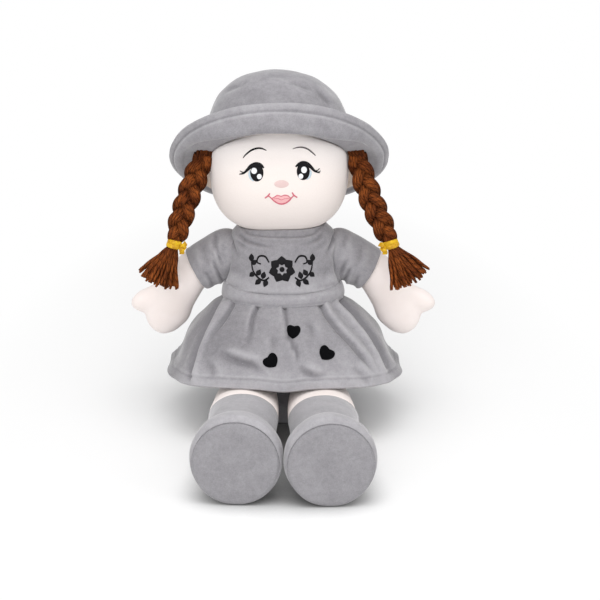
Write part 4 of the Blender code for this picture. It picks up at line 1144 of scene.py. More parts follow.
def make_crown():
    sides = 128
    profile = spline([(r * CROWN_FOOT_RADIUS, h * CROWN_HEIGHT) for r, h in CROWN_SHARES], 60)
    profile = profile[1:]
    rows = []
    for radius, height in profile:
        rows.append([hat_point(math.tau * index / sides, radius, height) for index in range(sides)])
    rows = np.array(rows)
    heights = np.array([height for _, height in profile])[:, None]
    rows[..., 0] += CROWN_SHIFT + CROWN_TOP_LEAN * heights / CROWN_HEIGHT
    centre = np.array(HEAD_CENTRE)
    normals = grid_normals(rows, centre)
    level = np.linspace(0, 1, len(rows))[:, None]
    calm = np.clip(level * 4, 0, 1) * np.clip((1.02 - level) * 6, 0, 1)
    lumps = lumps_of(rows, CROWN_LUMPS)
    creases = fold_depths(rows, CROWN_FOLDS)
    facing = np.clip(-normals[..., 1] * 3 + 1.2, 0, 1)
    outer = rows + normals * ((lumps - CROWN_SINK) * calm + creases * facing)[..., None]
    inner = rows[::5] - normals[::5] * CROWN_THICKNESS
    tip = [outer[0].mean(axis=0) + (point - outer[0].mean(axis=0)) * 0.3 for point in outer[0]]
    inner_tip = [inner[0].mean(axis=0) + (point - inner[0].mean(axis=0)) * 0.3 for point in inner[0]]
    # Painted shade in the creases, painted light on their ridges, and painted shade over the whole
    # crown
    painted_shade = np.clip(creases * facing / PAINTED_SHADE_FOLD_DEPTH, -1, 1) + np.interp(level, (0, 0.35, 0.7, 1), CROWN_PAINTED_SHADE)
    painted_shade = np.concatenate((np.full(sides, CROWN_PAINTED_SHADE[0]), painted_shade.ravel()))
    mesh = skin("hat_crown", [tip, *outer, *inner[::-1], inner_tip], painted_shade=painted_shade)
    piece = link("hat_crown", mesh, "head", GREY, ["hat_crown_side", "hat_crown_top"], 1)


CROWN_FOLDS = (
    (((221.3, 92.5), (233.7, 86.5), (247.1, 82)), 2.8, 1.3, 0.6, (0.2, 0.4)),
    (((316, 88.5), (324.6, 97.5), (333.2, 105)), 2.6, 1.5, -1.2, (0.3, 0.2)),
    (((288.3, 82.1), (296.9, 84), (308.3, 88.5), (316, 90)), 2.4, 1.3, 0.7, (0.3, 0.3)),
    (((262, 78), (271, 75.6), (281.6, 76.4), (295, 75.6)), 2.4, 0.9, 0.5, (0.4, 0.4)),
    (((232, 95), (246, 92), (254, 97)), 3.6, 0.8, 0.5, (0.4, 0.4)),
)
# Pitch of the stitches, share of it that shows, and radius of the thread
HAT_STITCH = (3.0 * MM, 0.7, 0.3 * MM)
SOLE_STITCH = (2.6 * MM, 0.74, 0.36 * MM)
BRIM_SIDES = 144
BRIM_SECTION_POINTS = 100
CREASE_FROM_RIM = 8.2 * MM
CREASE_DEPTH = 0.9 * MM
CREASE_RIDGE = 0.5 * MM
CREASE_RIDGE_DROP = 1.9 * MM
CREASE_WIDTH = 1.1 * MM
BRIM_FACE_LENGTH = 46 * MM
# Painted light on the turned rim strip and painted shade towards its sides; painted shade on the brim's
# outer face, less towards the sides
BRIM_TURN_PAINTED_LIGHT = 0.6
BRIM_TURN_SIDE_PAINTED_SHADE = -0.9
BRIM_FACE_FADE = 9 * MM
BRIM_FACE_PAINTED_SHADE = -0.45
BRIM_FACE_SIDE_PAINTED_LIGHT = 0.15


def brim_section(angle):
    front_share = math.cos(angle)
    fade_start, fade_length = BRIM_ROLL_FADE_SHARES
    fade = min(max((front_share - fade_start) / fade_length, 0.0), 1.0)
    low = -BRIM_ROLL_DROP * fade ** 2 * (3 - 2 * fade)
    edge = BRIM_EDGE_RISE + BRIM_EDGE_FRONT_RISE * front_share
    flat = BRIM_FLAT_SHARE * BRIM_OUTER_RADIUS
    halfway = 0.5 * (BRIM_INNER_RADIUS + flat)
    section = [(radius, BRIM_UNDER) for radius in (BRIM_INNER_RADIUS, halfway, flat)]
    section.append((flat + BRIM_LIP, min(BRIM_UNDER, low + BRIM_LIP)))
    for radius, height in BRIM_ROLL_SHARES:
        section.append((radius * BRIM_OUTER_RADIUS, low + (edge - low) * height))
    for radius, lift, blend in BRIM_INNER_SHARES:
        height = (edge + lift * BRIM_EDGE_THICKNESS) * (1 - blend) + BRIM_SEAT * blend
        section.append((radius * BRIM_OUTER_RADIUS, height))
    section.append((BRIM_INNER_RADIUS, BRIM_SEAT))
    return section


def make_brim():
    """The rolled brim, with a sewn groove and a raised edge below its rim, and painted light and shade
    on its outer faces.
    """
    count = BRIM_SECTION_POINTS
    angles = [math.tau * index / BRIM_SIDES for index in range(BRIM_SIDES)]
    section = np.array([spline(brim_section(angle), count, closed=True) for angle in angles])
    rows = hat_rows(angles, section)
    step = np.roll(section, -1, axis=1) - np.roll(section, 1, axis=1)
    flat_normals = unit(np.stack((step[..., 1], -step[..., 0]), -1))
    if np.sum(flat_normals * (section - section.mean(axis=1, keepdims=True))) < 0:
        flat_normals = -flat_normals
    from_rim = distance_from_rim(section)
    groove = np.exp(-(((from_rim - CREASE_FROM_RIM) / CREASE_WIDTH) ** 2))
    ridge = np.exp(-(((from_rim - CREASE_FROM_RIM - CREASE_RIDGE_DROP) / CREASE_WIDTH) ** 2))
    move = lumps_of(rows, BRIM_LUMPS)
    move += CREASE_RIDGE * ridge - CREASE_DEPTH * groove
    section = section + flat_normals * move[..., None]
    turned = np.clip(1 - from_rim / CREASE_FROM_RIM, 0, 1)
    face = np.clip((from_rim - CREASE_FROM_RIM) / BRIM_FACE_FADE, 0, 1) * (from_rim < BRIM_FACE_LENGTH)
    aside = np.abs(np.sin(angles))[:, None]
    turn_painted_light = (BRIM_TURN_PAINTED_LIGHT + BRIM_TURN_SIDE_PAINTED_SHADE * aside) * turned
    # Painted light on the ridge, painted shade in the groove, and painted light and shade on the rim
    # strip and outer face
    painted_shade = 0.7 * ridge - 0.9 * groove + turn_painted_light + (BRIM_FACE_PAINTED_SHADE + BRIM_FACE_SIDE_PAINTED_LIGHT * aside) * face
    mesh = skin("hat_rolled_brim", hat_rows(angles, section), looped=True, painted_shade=painted_shade)
    piece = link("hat_rolled_brim", mesh, "head", GREY, ["hat_brim"], levels=1)
    nearest = np.argmax(groove, axis=1)
    sewn = section[np.arange(BRIM_SIDES), nearest][:, None]
    line = hat_rows(angles, sewn)[:, 0]
    make_stitches("hat_stitching", line, "head", *HAT_STITCH, closed=True)


def hat_rows(angles, sections):
    """Points in the hat's frame, for one section of radii and heights at each angle."""
    rows = []
    for angle, section in zip(angles, sections):
        rows.append([hat_point(angle, radius, height) for radius, height in section])
    return np.array(rows)


def distance_from_rim(sections):
    """How far each point lies from the brim's highest edge, going down its outer face."""
    rim = np.argmax(sections[..., 1] + sections[..., 0] * 0.25, axis=1)
    lengths = np.linalg.norm(sections - np.roll(sections, 1, axis=1), axis=2)
    far = np.full(lengths.shape, np.inf)
    for index, place in enumerate(rim):
        walked = 0.0
        while walked < BRIM_FACE_LENGTH:
            far[index][place] = walked
            walked += lengths[index][place]
            place = (place - 1) % sections.shape[1]
    return far


LINING_TUCK_MM = 4.0
LINING_TUCK_BELOW_MM = 6
LINING_SIDES = 160
# Radius and height of the lining's section, up inside the crown, out under the brim and back
LINING_MM = (
    (61.4, 20), (61.2, 8), (61.6, 0.6), (63.5, -1.0), (70, -1.4), (78, -1.3), (82, -0.7),
    (82.2, 0.4), (78, 0.2), (68, 0.1), (63.0, 1.6), (62.6, 8), (62.6, 20),
)


def make_lining():
    """The cotton lining inside the brim, gathered to the head."""
    rows = []
    for radius, height in LINING_MM:
        row = []
        for index in range(LINING_SIDES):
            angle = math.tau * index / LINING_SIDES
            gather = 0.25 * math.sin(angle * 60) + 0.2 * math.sin(angle * 37 + 1)
            share = min(max((radius - 61) / 10, 0), 1) * min(max((84 - radius) / 6, 0), 1)
            tuck = min(max((math.cos(angle) + 0.15) / 0.3, 0), 1) * LINING_TUCK_MM
            tuck *= height < LINING_TUCK_BELOW_MM
            row.append(hat_point(angle, radius * MM, (height + gather * share + tuck) * MM))
        rows.append(row)
    mesh = skin("hat_inside", rows, looped=True)
    piece = link("hat_inside", mesh, "head", LINING, ["hat_lining"], levels=1)


def tube_into(bm, path, radii, sides=6, uv=None, tones_and_painted_shade=None):
    """Add a round tube along a path, with a map of turns and length and a tone at each point, which
    carries random tone and painted shade.
    """
    path = np.array(path, float)
    count = len(path)
    tangents = unit(np.gradient(path, axis=0))
    side = unit(np.cross(tangents[0], (0.3, 0.9, 0.2)))
    rows = []
    frames = []
    for index in range(count):
        side = unit(side - tangents[index] * np.dot(side, tangents[index]))
        other = np.cross(tangents[index], side)
        frames.append((side, other))
        radius = radii[index]
        ring = []
        for corner in range(sides):
            angle = math.tau * corner / sides
            ring.append(path[index] + radius * (side * math.cos(angle) + other * math.sin(angle)))
        rows.append(ring)
    tone_and_painted_shade = bm.verts.layers.float.get("tone_and_painted_shade") or bm.verts.layers.float.new("tone_and_painted_shade")
    made = [[bm.verts.new(point) for point in ring] for ring in rows]
    if tones_and_painted_shade is not None:
        for ring, value in zip(made, tones_and_painted_shade):
            for vertex in ring:
                vertex[tone_and_painted_shade] = value
    lengths = np.concatenate(([0.0], np.cumsum(np.linalg.norm(np.diff(path, axis=0), axis=1))))
    for index in range(count - 1):
        for corner in range(sides):
            after = (corner + 1) % sides
            low, high = made[index], made[index + 1]
            face = bm.faces.new((low[corner], low[after], high[after], high[corner]))
            if uv:
                turns = (corner, corner + 1, corner + 1, corner)
                places = (index, index, index + 1, index + 1)
                for loop, turn, place in zip(face.loops, turns, places):
                    loop[uv].uv = (turn / sides, lengths[place])
    bm.faces.new(made[0][::-1])
    bm.faces.new(made[-1])


def make_stitches(name, line, body, pitch, share, radius, closed=False, material=None):
    """Short threads in a row along a line, each sunk a little at its ends."""
    line = np.array(line, float)
    if closed:
        line = np.concatenate((line, line[:1]))
    lengths = np.concatenate(([0.0], np.cumsum(np.linalg.norm(np.diff(line, axis=0), axis=1))))
    total = int(lengths[-1] / pitch)
    bm = bmesh.new()
    for number in range(total):
        start = (number + 0.5 - share / 2) / total * lengths[-1]
        end = (number + 0.5 + share / 2) / total * lengths[-1]
        places = np.linspace(start, end, 5)
        path = np.stack([np.interp(places, lengths, line[:, axis]) for axis in range(3)], -1)
        tube_into(bm, path, radius * np.array((0.45, 0.9, 1.0, 0.9, 0.45)), 6)
    piece = link(name, closed_mesh(bm, name), body, material or SEAM)
    return piece


# Sleeves and arms

SHOULDERS = {side: Vector((side * 51.85 * MM, 26.0 * MM, 151.4 * MM)) for _, side in SIDES}
SLEEVE_ANGLE = math.radians(29)
SLEEVE_RADIUS = 22.5 * MM
# Distance along the sleeve and radius, from inside the armhole to the hem
SLEEVE_MM = (
    (-17, 14.5), (-13, 18.6), (-8, 21.0), (-2, 22.2), (5, 22.3),
    (12, 22.0), (19, 21.6), (25, 21.2), (30.8, 20.9), (31.8, 20.2),
)
SLEEVE_INNER_MM = (
    (31.4, 19.3), (28, 19.1), (18, 19.6), (8, 20.0), (0, 19.9), (-9, 18.0), (-15, 13.4),
)
# Height and size of the sleeve's soft ripples
SLEEVE_RIPPLE = (0.7 * MM, 15 * MM)
SLEEVE_SEED = 30
SLEEVE_HEM_PLACE = 0.82
SLEEVE_HEM_WIDTH = 0.02
SLEEVE_HEM_DEPTH = 0.45 * MM
SLEEVE_FOLDS_LEFT = (
    (((212.8, 260), (215.5, 267.9), (218.2, 273.3), (221.5, 279.5)), 1.4, 3.0, 1.6, (0.3, 0)),
    (((217, 248), (218.2, 252.5), (219.5, 258), (222.5, 266)), 1.4, 2.8, 1.4, (0.2, 0.3)),
    (((216.2, 233), (214.6, 243), (217.3, 251)), 2.2, 1.9, 1.0, (0.2, 0.2)),
    (((202, 242), (204.5, 258), (209.5, 270)), 3.0, 1.2, 0.8, (0.3, 0.4)),
    (((203.5, 271), (209.5, 278.6), (212.5, 284)), 1.6, 1.6, 0.8, (0.3, 0)),
    (((224, 240), (223, 252), (226, 264)), 2.6, 1.0, 0.7, (0.3, 0.4)),
)
SLEEVE_FOLDS_RIGHT = (
    (((351, 267), (347, 275.3), (344.5, 281)), 1.5, 2.6, -1.4, (0.4, 0)),
    (((348.5, 258), (343, 268.6), (340, 276)), 1.6, 2.2, -1.0, (0.4, 0.2)),
    (((347, 233), (344.3, 245), (345.5, 255)), 2.6, 1.6, -0.9, (0.2, 0.4)),
    (((361, 274), (357, 279), (354.5, 285)), 1.6, 1.5, -0.8, (0.3, 0)),
    (((362, 243), (360, 258), (355, 269)), 3.0, 1.2, -0.8, (0.3, 0.4)),
    (((340, 240), (339.5, 252), (337.5, 262)), 2.4, 1.0, -0.6, (0.3, 0.4)),
)


def sleeve_axes(side):
    axis = np.array((side * math.cos(SLEEVE_ANGLE), 0, -math.sin(SLEEVE_ANGLE)))
    level = np.array((0.0, 1.0, 0.0))
    return axis, level, np.cross(axis, level)


def make_sleeve(label, side):
    axis, level, other = sleeve_axes(side)
    shoulder = np.array(SHOULDERS[side])
    sides = 80

    def ring(along, radius, grow=0.0):
        angles = np.arange(sides) * math.tau / sides
        offset = np.outer(np.cos(angles), level) + np.outer(np.sin(angles), other)
        return shoulder + axis * along * MM + offset * (radius * MM + grow)

    outer = np.array([ring(along, radius) for along, radius in spline(SLEEVE_MM, 40)])
    folds = SLEEVE_FOLDS_RIGHT if side > 0 else SLEEVE_FOLDS_LEFT
    # Folds, with painted shade in their valleys and painted light on their ridges
    outer, painted_shade = cloth_rows(outer, folds, *SLEEVE_RIPPLE, SLEEVE_SEED + side)
    spread = np.linspace(0, 1, len(outer))[:, None]
    hem = np.exp(-(((spread - SLEEVE_HEM_PLACE) / SLEEVE_HEM_WIDTH) ** 2)) * SLEEVE_HEM_DEPTH
    centre = outer.mean(axis=1, keepdims=True)
    outer = outer - unit(outer - centre) * hem[..., None]
    inner = [ring(along, radius) for along, radius in SLEEVE_INNER_MM]
    name = "sleeve_cloth_" + label
    mesh = skin(name, shell_rows(outer, np.array(inner)[::-1]), looped=True, painted_shade=painted_shade)
    piece = link(name, mesh, "arm_" + label, GREY, ["sleeve_" + label], levels=1)


ARM_END_RADIUS = 18.6 * MM
ARM_VOXEL = 1.3 * MM
ARM_REACH = 60.5 * MM
ARM_DROP = 78.5 * MM
ARM_HALF_WIDTH = 21.5 * MM
ARM_HALF_DEPTH = 17.6 * MM
ARM_SHARES = (
    (0.246, 0.089, 0.865, 1.0),
    (0.449, 0.178, 0.851, 1.0),
    (0.570, 0.262, 0.860, 1.0),
    (0.668, 0.353, 0.905, 1.0),
    (0.825, 0.529, 0.970, 1.0),
    (0.912, 0.682, 1.0, 0.97),
    (0.965, 0.809, 0.86, 0.88),
    (0.991, 0.924, 0.558, 0.62),
    (1.0, 0.985, 0.16, 0.22),
)
THUMB_ROOT_RADIUS = 14.5 * MM
THUMB_TIP_SHARE = 0.6
THUMB_LENGTH = 14 * MM
THUMB_FOOT_SHARES = (1.018, 0.554)
THUMB_ANGLE = math.radians(12)
THUMB_MIDDLE = 0.01 * MM


def make_arm(label, side):
    """Arm and mitten hand with its thumb, run together into one stuffed shape."""
    shoulder = np.array(SHOULDERS[side])
    axis, _, _ = sleeve_axes(side)
    stations = []
    for step in range(1, 5):
        angle = math.pi / 2 * step / 4
        radius = ARM_END_RADIUS * math.sin(angle)
        centre = shoulder - axis * ARM_END_RADIUS * math.cos(angle)
        stations.append((centre, radius, min(radius, ARM_HALF_DEPTH)))
    for reach, drop, width, depth in ARM_SHARES:
        centre = shoulder + np.array((side * reach * ARM_REACH, 0, -drop * ARM_DROP))
        stations.append((centre, width * ARM_HALF_WIDTH, depth * ARM_HALF_DEPTH))
    centres = spline([s[0] for s in stations], 60)
    widths = spline([(s[1], s[2]) for s in stations], 60)
    tangents = unit(np.gradient(centres, axis=0))
    rows = []
    for centre, (half_width, half_depth), along in zip(centres, widths, tangents):
        across = np.cross(along, (0, 1, 0))
        angles = np.arange(32) * math.tau / 32
        level = np.outer(np.cos(angles), across) * half_width
        rows.append(centre + level + np.outer(np.sin(angles), (0, half_depth, 0)))
    bm = bmesh.new()
    rows_into(bm, rows)
    reach, drop = THUMB_FOOT_SHARES
    foot = Vector(shoulder) + Vector((side * reach * ARM_REACH, 0, -drop * ARM_DROP))
    along = Vector((side * math.cos(THUMB_ANGLE), 0, -math.sin(THUMB_ANGLE)))
    turn = along.to_track_quat("Z", "Y").to_matrix().to_4x4()
    ball = bmesh.ops.create_uvsphere(bm, u_segments=32, v_segments=16, radius=THUMB_ROOT_RADIUS)
    thumb = ball["verts"]
    reach = THUMB_LENGTH + THUMB_ROOT_RADIUS
    for vertex in thumb:
        if vertex.co.z > THUMB_MIDDLE:
            vertex.co.z += THUMB_LENGTH
        taper = 1 - (1 - THUMB_TIP_SHARE) * max(vertex.co.z / reach, 0)
        vertex.co.x *= taper
        vertex.co.y *= taper
    bmesh.ops.transform(bm, matrix=Matrix.Translation(foot) @ turn, verts=thumb)
    name = "arm_plush_" + label
    piece = link(name, closed_mesh(bm, name), "arm_" + label, CREAM, ["arm_" + label])
    remesh = piece.modifiers.new("one_skin", "REMESH")
    remesh.mode = "VOXEL"
    remesh.voxel_size = ARM_VOXEL
    ease = piece.modifiers.new("ease", "SMOOTH")
    ease.factor = 0.6
    ease.iterations = 14
    bake(piece)


# Legs and shoes

HIP_X = 31 * MM
HIP_Y = -40 * MM
HIP_Z = 34 * MM
FOOT_X = 38 * MM
FOOT_Z = 37.3 * MM
THIGH_HALF_WIDTH = 27 * MM
THIGH_HALF_HEIGHT = 22 * MM
KNEE_HALF_WIDTH = 30.6 * MM
THIGH_LENGTH = 48.0 * MM
SOCK_LENGTH = 74.2 * MM
SOCK_TOP_DROP = 3 * MM
SOCK_WIDENS = (1.09, 1.03)
# How far the thigh and the sock stand out sideways, at the knee and at the shoe
LEG_SPREADS = (1.0 * MM, -0.2 * MM)
# How far each leg sits forward of the solids
LEG_REACHES = {1: 3.5 * MM, -1: 0}
# Height and size of the soft ripples of each piece, and the seeds they start from
THIGH_RIPPLE = (0.5 * MM, 18 * MM)
SOCK_RIPPLE = (0.8 * MM, 22 * MM)
SHOE_RIPPLE = (0.8 * MM, 20 * MM)
SOLE_DIMPLE = 0.7 * MM
SOLE_DIMPLE_SIZE = 18 * MM
LEG_SEEDS = (41, 51, 61, 71)
THIGH_INSET = 0.4 * MM
SOCK_THICKNESS = 0.8 * MM
LEG_GAP = 0.4 * MM
FLOOR_EASE = 0.9 * MM
SOCK_SHARES = (
    (0.0, 0.97, 0.97),
    (0.015, 0.995, 0.995),
    (0.04, 1.0, 1.0),
    (0.30, 0.99, 1.04),
    (0.60, 0.965, 1.08),
    (0.90, 0.94, 1.09),
    (1.0, 0.91, 1.06),
)
SHOE_RADIUS = 37.7 * MM
SOLE_DROP = 2.6 * MM
SOLE_NARROW = 0.985
SOLE_DROP_START = 0.84
SHOE_LENGTH = 24 * MM
SHOE_SHARES = (
    (0.06, 0.60),
    (0.02, 0.68),
    (0.03, 0.78),
    (0.10, 0.868),
    (0.20, 0.925),
    (0.32, 0.962),
    (0.46, 0.987),
    (0.60, 1.0),
    (0.74, 0.997),
    (0.86, 0.983),
    (0.94, 0.965),
    (0.985, 0.944),
    (0.99, 0.925),
    (0.975, 0.90),
    (0.975, 0.6),
)
SOLE_THICKNESS = 4.2 * MM
SOLE_STITCH_SHARE = 0.937
SOLE_STITCH_RISE = 0.1 * MM
SOLE_STITCH_LOWEST = 3 * MM
SOLE_SHARES = (
    (1.0, 0.02),
    (1.0, 0.20),
    (0.985, 0.40),
    (0.93, 0.60),
    (0.83, 0.76),
    (0.68, 0.87),
    (0.46, 0.915),
    (0.22, 0.934),
    (0.04, 0.928),
    (-0.04, 0.88),
    (-0.04, 0.5),
    (-0.04, 0.03),
)


def leg_frame(side):
    """Hip, direction down the leg, across it, and upward from it."""
    start = THIGH_LENGTH + LEG_GAP + SOCK_LENGTH + LEG_GAP
    splay = FOOT_X - HIP_X
    rise = FOOT_Z - HIP_Z
    along = unit(np.array((side * splay, -start - SHOE_LENGTH, rise)))
    across = unit(np.cross(along, (0, 0, 1)))
    hip = np.array((side * HIP_X, HIP_Y - LEG_REACHES[side], HIP_Z))
    return hip, along, across, np.cross(across, along)


def leg_ring(side, along, half_width, half_height, sides=72):
    hip, direction, across, upward = leg_frame(side)
    angles = np.arange(sides) * math.tau / sides
    offset = np.outer(np.cos(angles), across) * half_width
    offset = offset + np.outer(np.sin(angles), upward) * half_height
    return hip + direction * along + offset


def rest_on_floor(rows, height=0.2 * MM):
    """Flatten a soft piece a little where it touches the floor."""
    rows = np.array(rows)
    rows[..., 2] = height + FLOOR_EASE * np.logaddexp(0, (rows[..., 2] - height) / FLOOR_EASE)
    return rows


def stuffed(name, rows, body, material, replaces, levels=1, top_painted_light=0.0):
    """A padded piece over rows of points, with painted light where it faces upwards."""
    rows = np.array(rows)
    normals = grid_normals(rows, rows.mean(axis=1, keepdims=True))
    # Painted light on the upward-facing surface
    painted_shade = top_painted_light * np.clip(normals[..., 2], -0.3, 1)
    piece = link(name, skin(name, rows, painted_shade=painted_shade), body, material, replaces, levels)
    return piece


def ripple_rows(rows, depth, size, seed):
    rows = np.array(rows)
    normals = grid_normals(rows, rows.mean(axis=1, keepdims=True))
    return rows + normals * (depth * noise_field(rows, size, seed))[..., None]


def make_leg(label, side):
    body = "leg_" + label
    thigh_seed, sock_seed, shoe_seed, sole_seed = LEG_SEEDS
    thigh = []
    for step in range(1, 9):
        angle = math.pi / 2 * step / 8
        swell = math.sin(angle)
        back = -THIGH_HALF_HEIGHT * math.cos(angle)
        thigh.append(leg_ring(side, back, THIGH_HALF_WIDTH * swell, THIGH_HALF_HEIGHT * swell))
    for share in np.linspace(0.1, 1.0, 10):
        half_width = THIGH_HALF_WIDTH + (KNEE_HALF_WIDTH - THIGH_HALF_WIDTH) * math.sqrt(share)
        along = THIGH_LENGTH * share + (share == 1.0) * 2 * SOCK_TOP_DROP
        half_height = THIGH_HALF_HEIGHT - THIGH_INSET
        thigh.append(leg_ring(side, along, half_width - THIGH_INSET, half_height))
    thigh = ripple_rows(thigh, *THIGH_RIPPLE, thigh_seed + side) + (side * LEG_SPREADS[0], 0, 0)
    stuffed("thigh_plush_" + label, thigh, body, CREAM, ["thigh_" + label])
    start = THIGH_LENGTH + LEG_GAP
    sock = []
    for length, width, height in spline(SOCK_SHARES, 40):
        widen = SOCK_WIDENS[0] + (SOCK_WIDENS[1] - SOCK_WIDENS[0]) * length
        wide = width * (THIGH_HALF_WIDTH + SOCK_THICKNESS) * widen
        tall = height * (THIGH_HALF_HEIGHT + SOCK_THICKNESS)
        spread = LEG_SPREADS[0] + (LEG_SPREADS[1] - LEG_SPREADS[0]) * length
        place = start + SOCK_TOP_DROP + length * (SOCK_LENGTH - SOCK_TOP_DROP)
        sock.append(leg_ring(side, place, wide, tall) + (side * spread, 0, 0))
    sock = ripple_rows(sock, *SOCK_RIPPLE, sock_seed + side)
    first = sock[0].mean(axis=0) + (sock[0] - sock[0].mean(axis=0)) * 0.9
    name = "sock_velour_" + label
    stuffed(name, [first, *sock], body, GREY, ["sock_" + label], top_painted_light=0.45)
    base = start + SOCK_LENGTH + LEG_GAP
    shoe = []
    _, direction, _, upward = leg_frame(side)
    for length, radius in spline(SHOE_SHARES, 44):
        reach = radius * SHOE_RADIUS
        ring = leg_ring(side, base + length * SHOE_LENGTH, reach, reach, 96)
        drop = SOLE_DROP * min(max((length - SOLE_DROP_START) / (1 - SOLE_DROP_START), 0), 1)
        shoe.append(ring - upward * drop)
    shoe = rest_on_floor(ripple_rows(shoe, *SHOE_RIPPLE, shoe_seed + side))
    stuffed("shoe_velour_" + label, shoe, body, GREY, ["shoe_" + label], top_painted_light=0.8)
    sole = []
    seat = base + SHOE_LENGTH
    for height, radius in spline(SOLE_SHARES, 44):
        reach = radius * SHOE_RADIUS * SOLE_NARROW
        ring = leg_ring(side, seat + height * SOLE_THICKNESS, reach, reach, 96)
        sole.append(ring - upward * SOLE_DROP)
    sole = np.array(sole)
    dimple = SOLE_DIMPLE * noise_field(sole, SOLE_DIMPLE_SIZE, sole_seed + side)
    flat = np.clip(np.linspace(1.4, 0, len(sole)), 0, 1)[:, None]
    sole = sole + direction * (dimple * flat)[..., None]
    name = "sole_velour_" + label
    stuffed(name, rest_on_floor(sole), body, GREY_SOLE_PAINTED_SHADE, ["sole_" + label])
    reach = SOLE_STITCH_SHARE * SHOE_RADIUS * SOLE_NARROW
    stitch = leg_ring(side, seat + SOLE_STITCH_RISE, reach, reach, 180) - upward * SOLE_DROP
    stitch = stitch[stitch[:, 2] > SOLE_STITCH_LOWEST]
    first = int(np.argmax(np.linalg.norm(np.diff(stitch, axis=0), axis=1))) + 1
    stitch = np.concatenate((stitch[first:], stitch[:first]))
    make_stitches("sole_stitching_" + label, stitch, body, *SOLE_STITCH)


# Plaits

PLAIT_ROOT = Vector((65.8 * MM, 3 * MM, 242 * MM))
PLAIT_SHIFTS = {1: 0.4 * MM, -1: -5.5 * MM}
PLAIT_OUTS = {1: 29.3 * MM, -1: 25.0 * MM}
PLAIT_FORWARD = 13.5 * MM
PLAIT_DROP = 71 * MM
PLAIT_BOWS = {1: -2.3 * MM, -1: 1.5 * MM}
PLAIT_START_SHARE = -0.05
PLAIT_TURN_LENGTH = 48 * MM
PLAIT_SHARES = ((-0.05, 0.78), (0.05, 0.9), (0.2, 1.0), (0.75, 0.97), (0.90, 0.88), (1.0, 0.50))
SWAY = 6.4 * MM
DEPTH_SWAY = 4.6 * MM
STRAND_HALF_WIDTH = 4.0 * MM
STRAND_HALF_DEPTH = 2.3 * MM
# Painted shade at each strand's edges and where it passes under the others
EDGE_SHADE = 0.45
UNDER_SHADE = 0.45
YARN_RADIUS = 1.15 * MM
YARN_WOBBLE = 0.22 * MM
YARNS = 14
# Places of the thick inner yarns across a strand, in shares of its half width
CORE_PLACES = (-0.48, 0.0, 0.48)
CORE_SHARE = 2.0
TIE_GAP = 1.3 * MM
GOLDEN_TURN = math.radians(137.508)
TASSEL_YARNS = 46
TASSEL_YARN_RADIUS = 1.3 * MM
TASSEL_LENGTH = 44.5 * MM
TASSEL_RISE = 4 * MM
TASSEL_NECK_LENGTH = 8 * MM
TASSEL_NECK_RADIUS = 3.7 * MM
TASSEL_WAVE = 0.55 * MM
TASSEL_WAVE_START = 10 * MM
TASSEL_FAN = math.radians(29)
TASSEL_FAN_DEPTH = math.radians(15)
TASSEL_LEAN = math.radians(6.5)


def plait_axes(side):
    down = Vector((side * PLAIT_OUTS[side], -PLAIT_FORWARD, -PLAIT_DROP))
    along = down.normalized()
    across = along.cross(Vector((0, 1, 0))).normalized() * side
    return np.array(along), np.array(across), np.array(along.cross(across) * side), down.length


def plait_root(side):
    return np.array((side * PLAIT_ROOT.x + PLAIT_SHIFTS[side], PLAIT_ROOT.y, PLAIT_ROOT.z))


def strand_line(side, strand, count=90):
    """Points, sizes and rises of one strand, woven over and under the others."""
    along, across, forward, length = plait_axes(side)
    root = plait_root(side)
    places, sizes = zip(*PLAIT_SHARES)
    line = []
    for index in range(count):
        share = PLAIT_START_SHARE + (1 - PLAIT_START_SHARE) * index / (count - 1)
        size = float(np.interp(share, places, sizes))
        phase = math.tau * (share * length / PLAIT_TURN_LENGTH + strand / 3)
        bow = PLAIT_BOWS[side] * math.sin(math.pi * max(share, 0))
        sway = SWAY * size * math.sin(phase) + bow
        rise = math.sin(2 * phase)
        depth = DEPTH_SWAY * size * rise
        line.append((root + along * length * share + across * sway + forward * depth, size, rise))
    return line


def make_plait(label, side):
    _, across, forward, _ = plait_axes(side)
    random = np.random.default_rng(5 + side)
    for strand, letter in enumerate("abc"):
        line = strand_line(side, strand)
        centres = np.array([point for point, _, _ in line])
        sizes = np.array([size for _, size, _ in line])
        rises = [rise for _, _, rise in line]
        tangents = unit(np.gradient(centres, axis=0))
        bm = bmesh.new()
        chart = bm.loops.layers.uv.new("wound")
        for number in range(YARNS):
            start = random.uniform(0, math.tau)
            core = number - (YARNS - len(CORE_PLACES))
            base = math.tau * number / (YARNS - len(CORE_PLACES))
            spread = 0.0 if core >= 0 else 1.0
            own = random.uniform(0.72, 1.08)
            path, tones_and_painted_shade = [], []
            for index, (centre, tangent) in enumerate(zip(centres, tangents)):
                wide = unit(np.cross(forward, tangent))
                deep = np.cross(tangent, wide)
                angle = base + 0.9 * math.sin(index / len(centres) * 5 + start * 0.2)
                wobble = YARN_WOBBLE * math.sin(index * 0.35 + start)
                aside = CORE_PLACES[core] if core >= 0 else math.cos(angle)
                offset = wide * (STRAND_HALF_WIDTH * aside + wobble)
                offset = offset + deep * STRAND_HALF_DEPTH * spread * math.sin(angle)
                path.append(centre + offset * sizes[index])
                # Random tone per yarn, with painted shade at the strand's edges and where it dips under
                edge = spread * math.cos(angle) ** 2
                tones_and_painted_shade.append(own * (1 - EDGE_SHADE * edge) * (1 - UNDER_SHADE * (1 - rises[index]) / 2))
            radii = YARN_RADIUS * (0.55 + 0.45 * sizes) * (1 if spread else CORE_SHARE)
            tube_into(bm, path, radii, 7, chart, tones_and_painted_shade)
        name = "plait_wool_" + letter + "_" + label
        node = "plait_strand_" + letter + "_" + label
        piece = link(name, closed_mesh(bm, name), "plait_" + label, WOOL, [node])


def tie_point(side):
    along, _, _, length = plait_axes(side)
    return plait_root(side) + along * (length + TIE_GAP)


